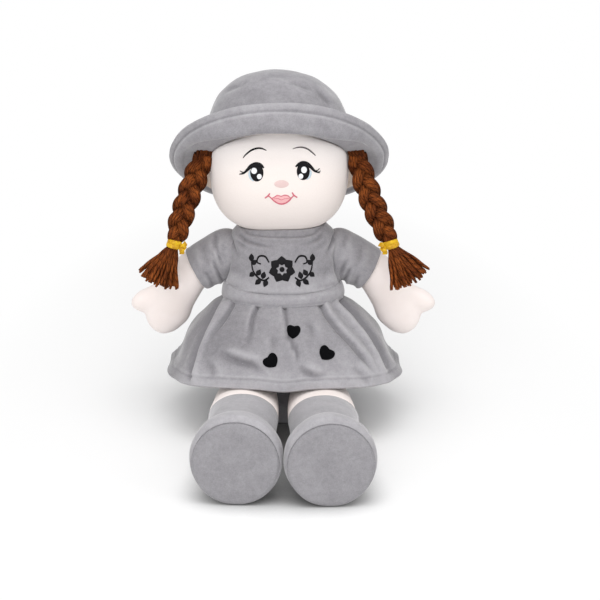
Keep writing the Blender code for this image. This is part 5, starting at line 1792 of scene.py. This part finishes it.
def make_tassel(label, side):
    """Loose ends of wool below the ribbon, spread like a fan."""
    along, across, forward, _ = plait_axes(side)
    random = np.random.default_rng(40 + side)
    start = tie_point(side) - along * TASSEL_RISE
    bm = bmesh.new()
    chart = bm.loops.layers.uv.new("wound")
    for number in range(TASSEL_YARNS):
        share = (number + 0.5) / TASSEL_YARNS
        angle = number * GOLDEN_TURN
        reach = math.sqrt(share)
        wide, deep = reach * math.cos(angle), reach * math.sin(angle)
        length = TASSEL_LENGTH * random.uniform(0.93, 1.03)
        fan = wide * TASSEL_FAN + TASSEL_LEAN + random.uniform(-0.03, 0.03)
        fan_depth = deep * TASSEL_FAN_DEPTH
        outward = along * math.cos(fan) + across * math.sin(fan) + forward * math.sin(fan_depth)
        phase = random.uniform(0, math.tau)
        base = start + (across * wide + forward * deep) * TASSEL_NECK_RADIUS
        path = []
        for step in range(18):
            gone = length * step / 17
            free = max(gone - TASSEL_NECK_LENGTH, 0)
            straight = min(gone, TASSEL_NECK_LENGTH)
            wave = TASSEL_WAVE * math.sin(free / MM * 0.22 + phase) * min(free / TASSEL_WAVE_START, 1)
            path.append(base + along * straight + outward * free + across * wave)
        radii = np.full(18, TASSEL_YARN_RADIUS)
        radii[-1] *= 0.7
        own = random.uniform(0.6, 1.1)
        # Random tone per yarn, with painted shade towards the neck where the yarns bunch
        tube_into(bm, path, radii, 6, chart, own * np.linspace(0.75, 1, 18))
    name = "tassel_wool_" + label
    piece = link(name, closed_mesh(bm, name), "plait_" + label, WOOL, ["tassel_" + label])


RIBBON_LIFT = 0.7 * MM
RIBBON_RADIUS = 5.3 * MM
RIBBON_RIPPLE = 0.2 * MM
# Place along the plait, tilt and phase of each turn of the ribbon, in millimetres and radians
RIBBON_WRAPS = ((-1.5, 0.6, 0.4), (1.4, -0.7, 2.2))
# Section of one turn, outward and along the plait, in millimetres
RIBBON_SECTION = ((0, -1.9), (0.7, -2.1), (1.05, -1.3), (1.2, 0), (1.05, 1.3), (0.7, 2.1), (0, 1.9))
KNOT_OUT = 6.6 * MM
KNOT_RADIUS = 1.9 * MM
# Direction of each tail from straight inward, its length, and its curl
KNOT_TAILS = (
    (math.radians(68), 7.0, 0.8),
    (math.radians(18), 4.6, -0.7),
    (math.radians(-52), 5.6, 0.9),
)
KNOT_FORWARD = 1.5 * MM
TAIL_SWING = 0.5 * MM
TAIL_FOLD = 0.6 * MM
TAIL_HALF_THICKNESS = 0.3 * MM
ROOT_YARNS = 9
ROOT_RISE_MM = 13.5
ROOT_END_WIDTH = 9 * MM
ROOT_END_LENGTH = 5 * MM
ROOT_BULGE = 2.2 * MM


def make_ribbon(label, side):
    """Ribbon wound twice round the plait's end, with a flat knot and two tails at its inner side."""
    along, across, forward, _ = plait_axes(side)
    middle = tie_point(side) + along * RIBBON_LIFT
    bm = bmesh.new()
    for lift, tilt, phase in RIBBON_WRAPS:
        rows = []
        for index in range(64):
            angle = math.tau * index / 64
            outward = across * math.cos(angle) + forward * math.sin(angle)
            shift = (lift + tilt * math.cos(angle + phase)) * MM
            radius = RIBBON_RADIUS + RIBBON_RIPPLE * math.sin(angle * 5 + phase)
            rows.append([
                middle + outward * (radius + out * MM) + along * (shift + high * MM)
                for out, high in RIBBON_SECTION
            ])
        rows_into(bm, rows, looped=True)
    name = "ribbon_wrap_" + label
    node = "ribbon_band_" + label
    piece = link(name, closed_mesh(bm, name), "plait_" + label, RIBBON, [node], levels=1)
    knot = middle - across * KNOT_OUT + forward * KNOT_FORWARD
    bm = bmesh.new()
    for turn, length, curl in KNOT_TAILS:
        direction = -across * math.cos(turn) + along * math.sin(turn)
        wide = unit(np.cross(direction, forward))
        rows = []
        for step in range(14):
            place = step / 13
            centre = knot + direction * length * MM * place
            centre = centre + forward * (curl * math.sin(place * 4.5) + 0.3) * MM
            centre = centre + wide * TAIL_SWING * math.sin(place * 5 + turn)
            half = (1.0 + 1.3 * min(place * 2.5, 1)) * MM
            fold = forward * TAIL_FOLD * math.sin(place * 3)
            thin = forward * TAIL_HALF_THICKNESS
            rows.append([
                centre - wide * half - thin + fold,
                centre - thin,
                centre + wide * half - thin + fold,
                centre + wide * half + thin + fold,
                centre + thin,
                centre - wide * half + thin + fold,
            ])
        rows_into(bm, rows)
    ball = bmesh.ops.create_uvsphere(bm, u_segments=24, v_segments=14, radius=KNOT_RADIUS)["verts"]
    for vertex in ball:
        local = Vector(vertex.co)
        lump = 1 + 0.12 * math.sin(local.x / MM * 2.2) + 0.10 * math.sin(local.z / MM * 2.7 + 1)
        placed = Vector(across) * local.x * 0.75 + Vector(forward) * local.y * 1.1
        placed += Vector(along) * local.z
        vertex.co = Vector(knot) + placed * lump
    name = "ribbon_bow_" + label
    node = "ribbon_knot_" + label
    piece = link(name, closed_mesh(bm, name), "plait_" + label, RIBBON, [node], levels=1)


def make_hair_root(label, side):
    """Wool sewn to the head under the brim, where the plait begins."""
    random = np.random.default_rng(60 + side)
    along, across, forward, _ = plait_axes(side)
    root = plait_root(side)
    bm = bmesh.new()
    chart = bm.loops.layers.uv.new("wound")
    for number in range(ROOT_YARNS):
        share = number / (ROOT_YARNS - 1)
        spread = share - 0.5
        back = 4.0 + 2.0 * random.uniform(-1, 1)
        start = root + np.array((side * (spread * 14 - 4.0), back, ROOT_RISE_MM)) * MM
        end = root + across * spread * ROOT_END_WIDTH
        end = end + forward * (1.5 + 1.0 * math.cos(number * 2.2)) * MM + along * ROOT_END_LENGTH
        path = []
        for step in range(10):
            place = step / 9
            bulge = math.sin(math.pi * place) * ROOT_BULGE
            path.append(start + (end - start) * place + forward * bulge)
        # Random tone per yarn, with painted shade at its start under the brim
        tones_and_painted_shade = random.uniform(0.6, 1.0) * np.linspace(0.15, 1, 10)
        tube_into(bm, path, np.full(10, YARN_RADIUS * 1.2), 7, chart, tones_and_painted_shade)
    name = "hair_root_" + label
    piece = link(name, closed_mesh(bm, name), "head", WOOL)


# Hearts on the skirt, and the flower sprig on the bodice

HEART_FULLNESS = 1.7
# Waves that add up to the height of the heart's outline
HEART_WAVES = (0.92, -0.19, -0.10, -0.02)
# Middle, half width and half height in pixels, and turn in degrees
HEARTS = (
    ((271.4, 361.6), 7.9, 7.6, -42),
    ((293.4, 332.2), 6.9, 7.5, 6),
    ((325.9, 354.0), 8.1, 7.6, 36),
)
FELT_LIFT = 0.45 * MM


def heart_outline(centre, half_width, half_height, turn_deg, count=40):
    turn = math.radians(turn_deg)
    points = []
    for index in range(count):
        angle = math.tau * index / count
        across = half_width * math.copysign(abs(math.sin(angle)) ** HEART_FULLNESS, math.sin(angle))
        waves = zip(HEART_WAVES, (1, 2, 3, 4))
        down = -half_height * (sum(share * math.cos(times * angle) for share, times in waves) + 0.15)
        points.append((
            centre[0] + across * math.cos(turn) - down * math.sin(turn),
            centre[1] + across * math.sin(turn) + down * math.cos(turn),
        ))
    return points


def make_hearts(tree):
    for number, heart in enumerate(HEARTS, 1):
        name = "heart_felt_" + str(number)
        outline = heart_outline(*heart)
        node = "heart_patch_" + str(number)
        patches = [(outline, FELT_LIFT)]
        embroider(name, tree, "torso", FELT, patches, replaces=[node])


# Start and end of each leaf, in pixels from the flower's middle
SPRIG_LEAVES = (
    ((15, 10.4), (18, 17.5)),
    ((21, 10), (27, 15)),
    ((19.5, 9.5), (17.5, 2.0)),
    ((25, 6), (21.5, 0.0)),
    ((27.5, 3), (32.5, 7)),
    ((30.3, -5), (25.5, -9.5)),
    ((30.5, -8), (30.5, -16)),
)


SPRIG_MIDDLE = (282.0, 269.5)
SPRIG_LIFT = 0.15 * MM
# Stem and curl on one side, from the flower's middle, and their widths, in pixels
SPRIG_LINES = (
    (((13, 8), (18, 11), (24, 8), (29, 1), (30.5, -8)), (1.6, 2.0, 1.9, 1.6, 1.2)),
    (((13, -7), (17, -13), (23, -13), (25, -7.5), (21, -5.5)), (1.4, 1.9, 1.9, 1.7, 1.2)),
)
PETALS = 7
PETAL_REACH = (4.2, 13.5)
PETAL_WIDTH = 9.6
LEAF_WIDTH = 5.0


def leaf(start, end, width):
    """Outline of a pointed leaf between two pixels."""
    start, end = np.array(start, float), np.array(end, float)
    along = end - start
    side = np.array((-along[1], along[0])) / np.linalg.norm(along)
    left, right = [], []
    for share in np.linspace(0, 1, 9):
        bulge = width * math.sin(math.pi * share ** 0.85) / 2
        left.append(start + along * share + side * (bulge + 0.15))
        right.append(start + along * share - side * (bulge + 0.15))
    return left + right[::-1]


def make_sprig(tree):
    """A flower between two leafy stems, in black thread."""
    across, down = SPRIG_MIDDLE
    patches = []
    for number in range(PETALS):
        angle = math.tau * number / PETALS + 0.2
        root, tip = (
            (across + reach * math.cos(angle), down + reach * math.sin(angle)) for reach in PETAL_REACH
        )
        patches.append((leaf(root, tip, PETAL_WIDTH), SPRIG_LIFT))
    patches.append((ellipse(SPRIG_MIDDLE, 2.6, 2.6, 16), SPRIG_LIFT))
    strokes = []
    for side in (-1, 1):
        for line, widths in SPRIG_LINES:
            strokes.append(([(across + side * x, down + y) for x, y in line], widths, SPRIG_LIFT))
        for first, last in SPRIG_LEAVES:
            ends = [(across + side * x, down + y) for x, y in (first, last)]
            patches.append((leaf(*ends, LEAF_WIDTH), SPRIG_LIFT))
    embroider("bodice_sprig", tree, "torso", BLACK, patches, strokes)


# Camera, floor and light

def make_camera():
    data = bpy.data.cameras.new("camera")
    data.sensor_width = SENSOR_MM
    data.lens = FOCAL_PX / PICTURE_PX * SENSOR_MM
    data.shift_x = (PICTURE_PX / 2 - MIDDLE_PX) / PICTURE_PX
    data.clip_end = 50
    camera = bpy.data.objects.new("camera", data)
    camera.location = EYE
    camera.rotation_euler = (math.pi / 2 - PITCH, 0, 0)
    bpy.context.scene.collection.objects.link(camera)
    bpy.context.scene.camera = camera


def make_light(name, place, size, power):
    data = bpy.data.lights.new(name, "AREA")
    data.shape = "DISK"
    data.size = size
    data.energy = power
    light = bpy.data.objects.new(name, data)
    light.location = place
    light.rotation_euler = (Vector((0, 0, 0.13)) - Vector(place)).to_track_quat("-Z", "Y").to_euler()
    bpy.context.scene.collection.objects.link(light)


WORLD_LEVEL = 0.52
FLOOR_BASE = 0.93
FLOOR_FADE = (60 * MM, 340 * MM)
FLOOR_FADE_SHAPE = (1, 0.35, 0)
# Painted contact shadow on the floor: within this reach of the doll the floor darkens towards this
# colour
CONTACT_SHADE_REACH = 45 * MM
CONTACT_PAINTED_SHADE = 0.05
# Name, place, size and watts of each lamp
LIGHTS = (
    ("front", (-250 * MM, -1700 * MM, 680 * MM), 2000 * MM, 17.5),
    ("above", (0, -350 * MM, 1650 * MM), 1400 * MM, 13),
    ("side", (1300 * MM, -900 * MM, 900 * MM), 1000 * MM, 2.5),
)


def make_stage():
    world = bpy.data.worlds.new("studio")
    bpy.context.scene.world = world
    world.use_nodes = True
    nodes, links = world.node_tree.nodes, world.node_tree.links
    back = nodes["Background"]
    back.inputs["Color"].default_value = (1, 1, 1, 1)
    path = nodes.new("ShaderNodeLightPath")
    seen = nodes.new("ShaderNodeMath")
    seen.operation = "MAXIMUM"
    links.new(path.outputs["Is Camera Ray"], seen.inputs[0])
    links.new(path.outputs["Is Glossy Ray"], seen.inputs[1])
    level = nodes.new("ShaderNodeMapRange")
    level.inputs["To Min"].default_value = WORLD_LEVEL
    level.inputs["To Max"].default_value = 1.0
    through = nodes.new("ShaderNodeMath")
    through.operation = "MAXIMUM"
    links.new(seen.outputs[0], through.inputs[0])
    links.new(path.outputs["Is Transmission Ray"], through.inputs[1])
    links.new(through.outputs[0], level.inputs["Value"])
    links.new(level.outputs["Result"], back.inputs["Strength"])
    bm = bmesh.new()
    bmesh.ops.create_grid(bm, x_segments=8, y_segments=8, size=14)
    mesh = bpy.data.meshes.new("floor")
    bm.to_mesh(mesh)
    bm.free()
    floor = bpy.data.objects.new("floor", mesh)
    bpy.context.scene.collection.objects.link(floor)
    n = Nodes("pale_floor")
    n.shader.inputs["Roughness"].default_value = 0.95
    n.shader.inputs["Specular IOR Level"].default_value = 0.1
    light_path = n.add("ShaderNodeLightPath")
    viewed = n.math("MAXIMUM", light_path.outputs["Is Camera Ray"], light_path.outputs["Is Glossy Ray"])
    viewed = n.math("MAXIMUM", viewed, light_path.outputs["Is Transmission Ray"])
    # Painted contact shadow: the floor darkens where the doll is close
    painted_contact_shade = n.add("ShaderNodeAmbientOcclusion")
    painted_contact_shade.inputs["Distance"].default_value = CONTACT_SHADE_REACH
    unshaded_share = n.spread(painted_contact_shade.outputs["AO"], 0.0, 0.8)
    n.join(n.mix(unshaded_share, (CONTACT_PAINTED_SHADE,) * 3, (FLOOR_BASE,) * 3), n.shader.inputs["Base Color"])
    shaped = n.add("ShaderNodeVectorMath", operation="MULTIPLY")
    n.join(n.place, shaped.inputs[0])
    shaped.inputs[1].default_value = FLOOR_FADE_SHAPE
    length = n.add("ShaderNodeVectorMath", operation="LENGTH")
    n.join(shaped.outputs["Vector"], length.inputs[0])
    far = n.spread(length.outputs["Value"], *FLOOR_FADE)
    glow = n.add("ShaderNodeEmission")
    blend = n.add("ShaderNodeMixShader")
    n.join(n.math("MULTIPLY", far, viewed), blend.inputs["Fac"])
    n.join(n.shader.outputs["BSDF"], blend.inputs[1])
    n.join(glow.outputs["Emission"], blend.inputs[2])
    n.join(blend.outputs["Shader"], n.tree.nodes["Material Output"].inputs["Surface"])
    mesh.materials.append(n.material)
    for light in LIGHTS:
        make_light(*light)
    bpy.context.scene.view_settings.view_transform = "Standard"


def main():
    make_camera()
    make_stage()
    make_torso()
    bodice = make_bodice()
    make_waistband()
    skirt = make_skirt()
    head = make_head()
    make_crown()
    make_brim()
    make_lining()
    make_face(tree_of(head))
    make_hearts(tree_of(skirt))
    make_sprig(tree_of(bodice))
    for label, side in SIDES:
        make_arm(label, side)
        make_sleeve(label, side)
        make_leg(label, side)
        make_plait(label, side)
        make_tassel(label, side)
        make_ribbon(label, side)
        make_hair_root(label, side)


main()
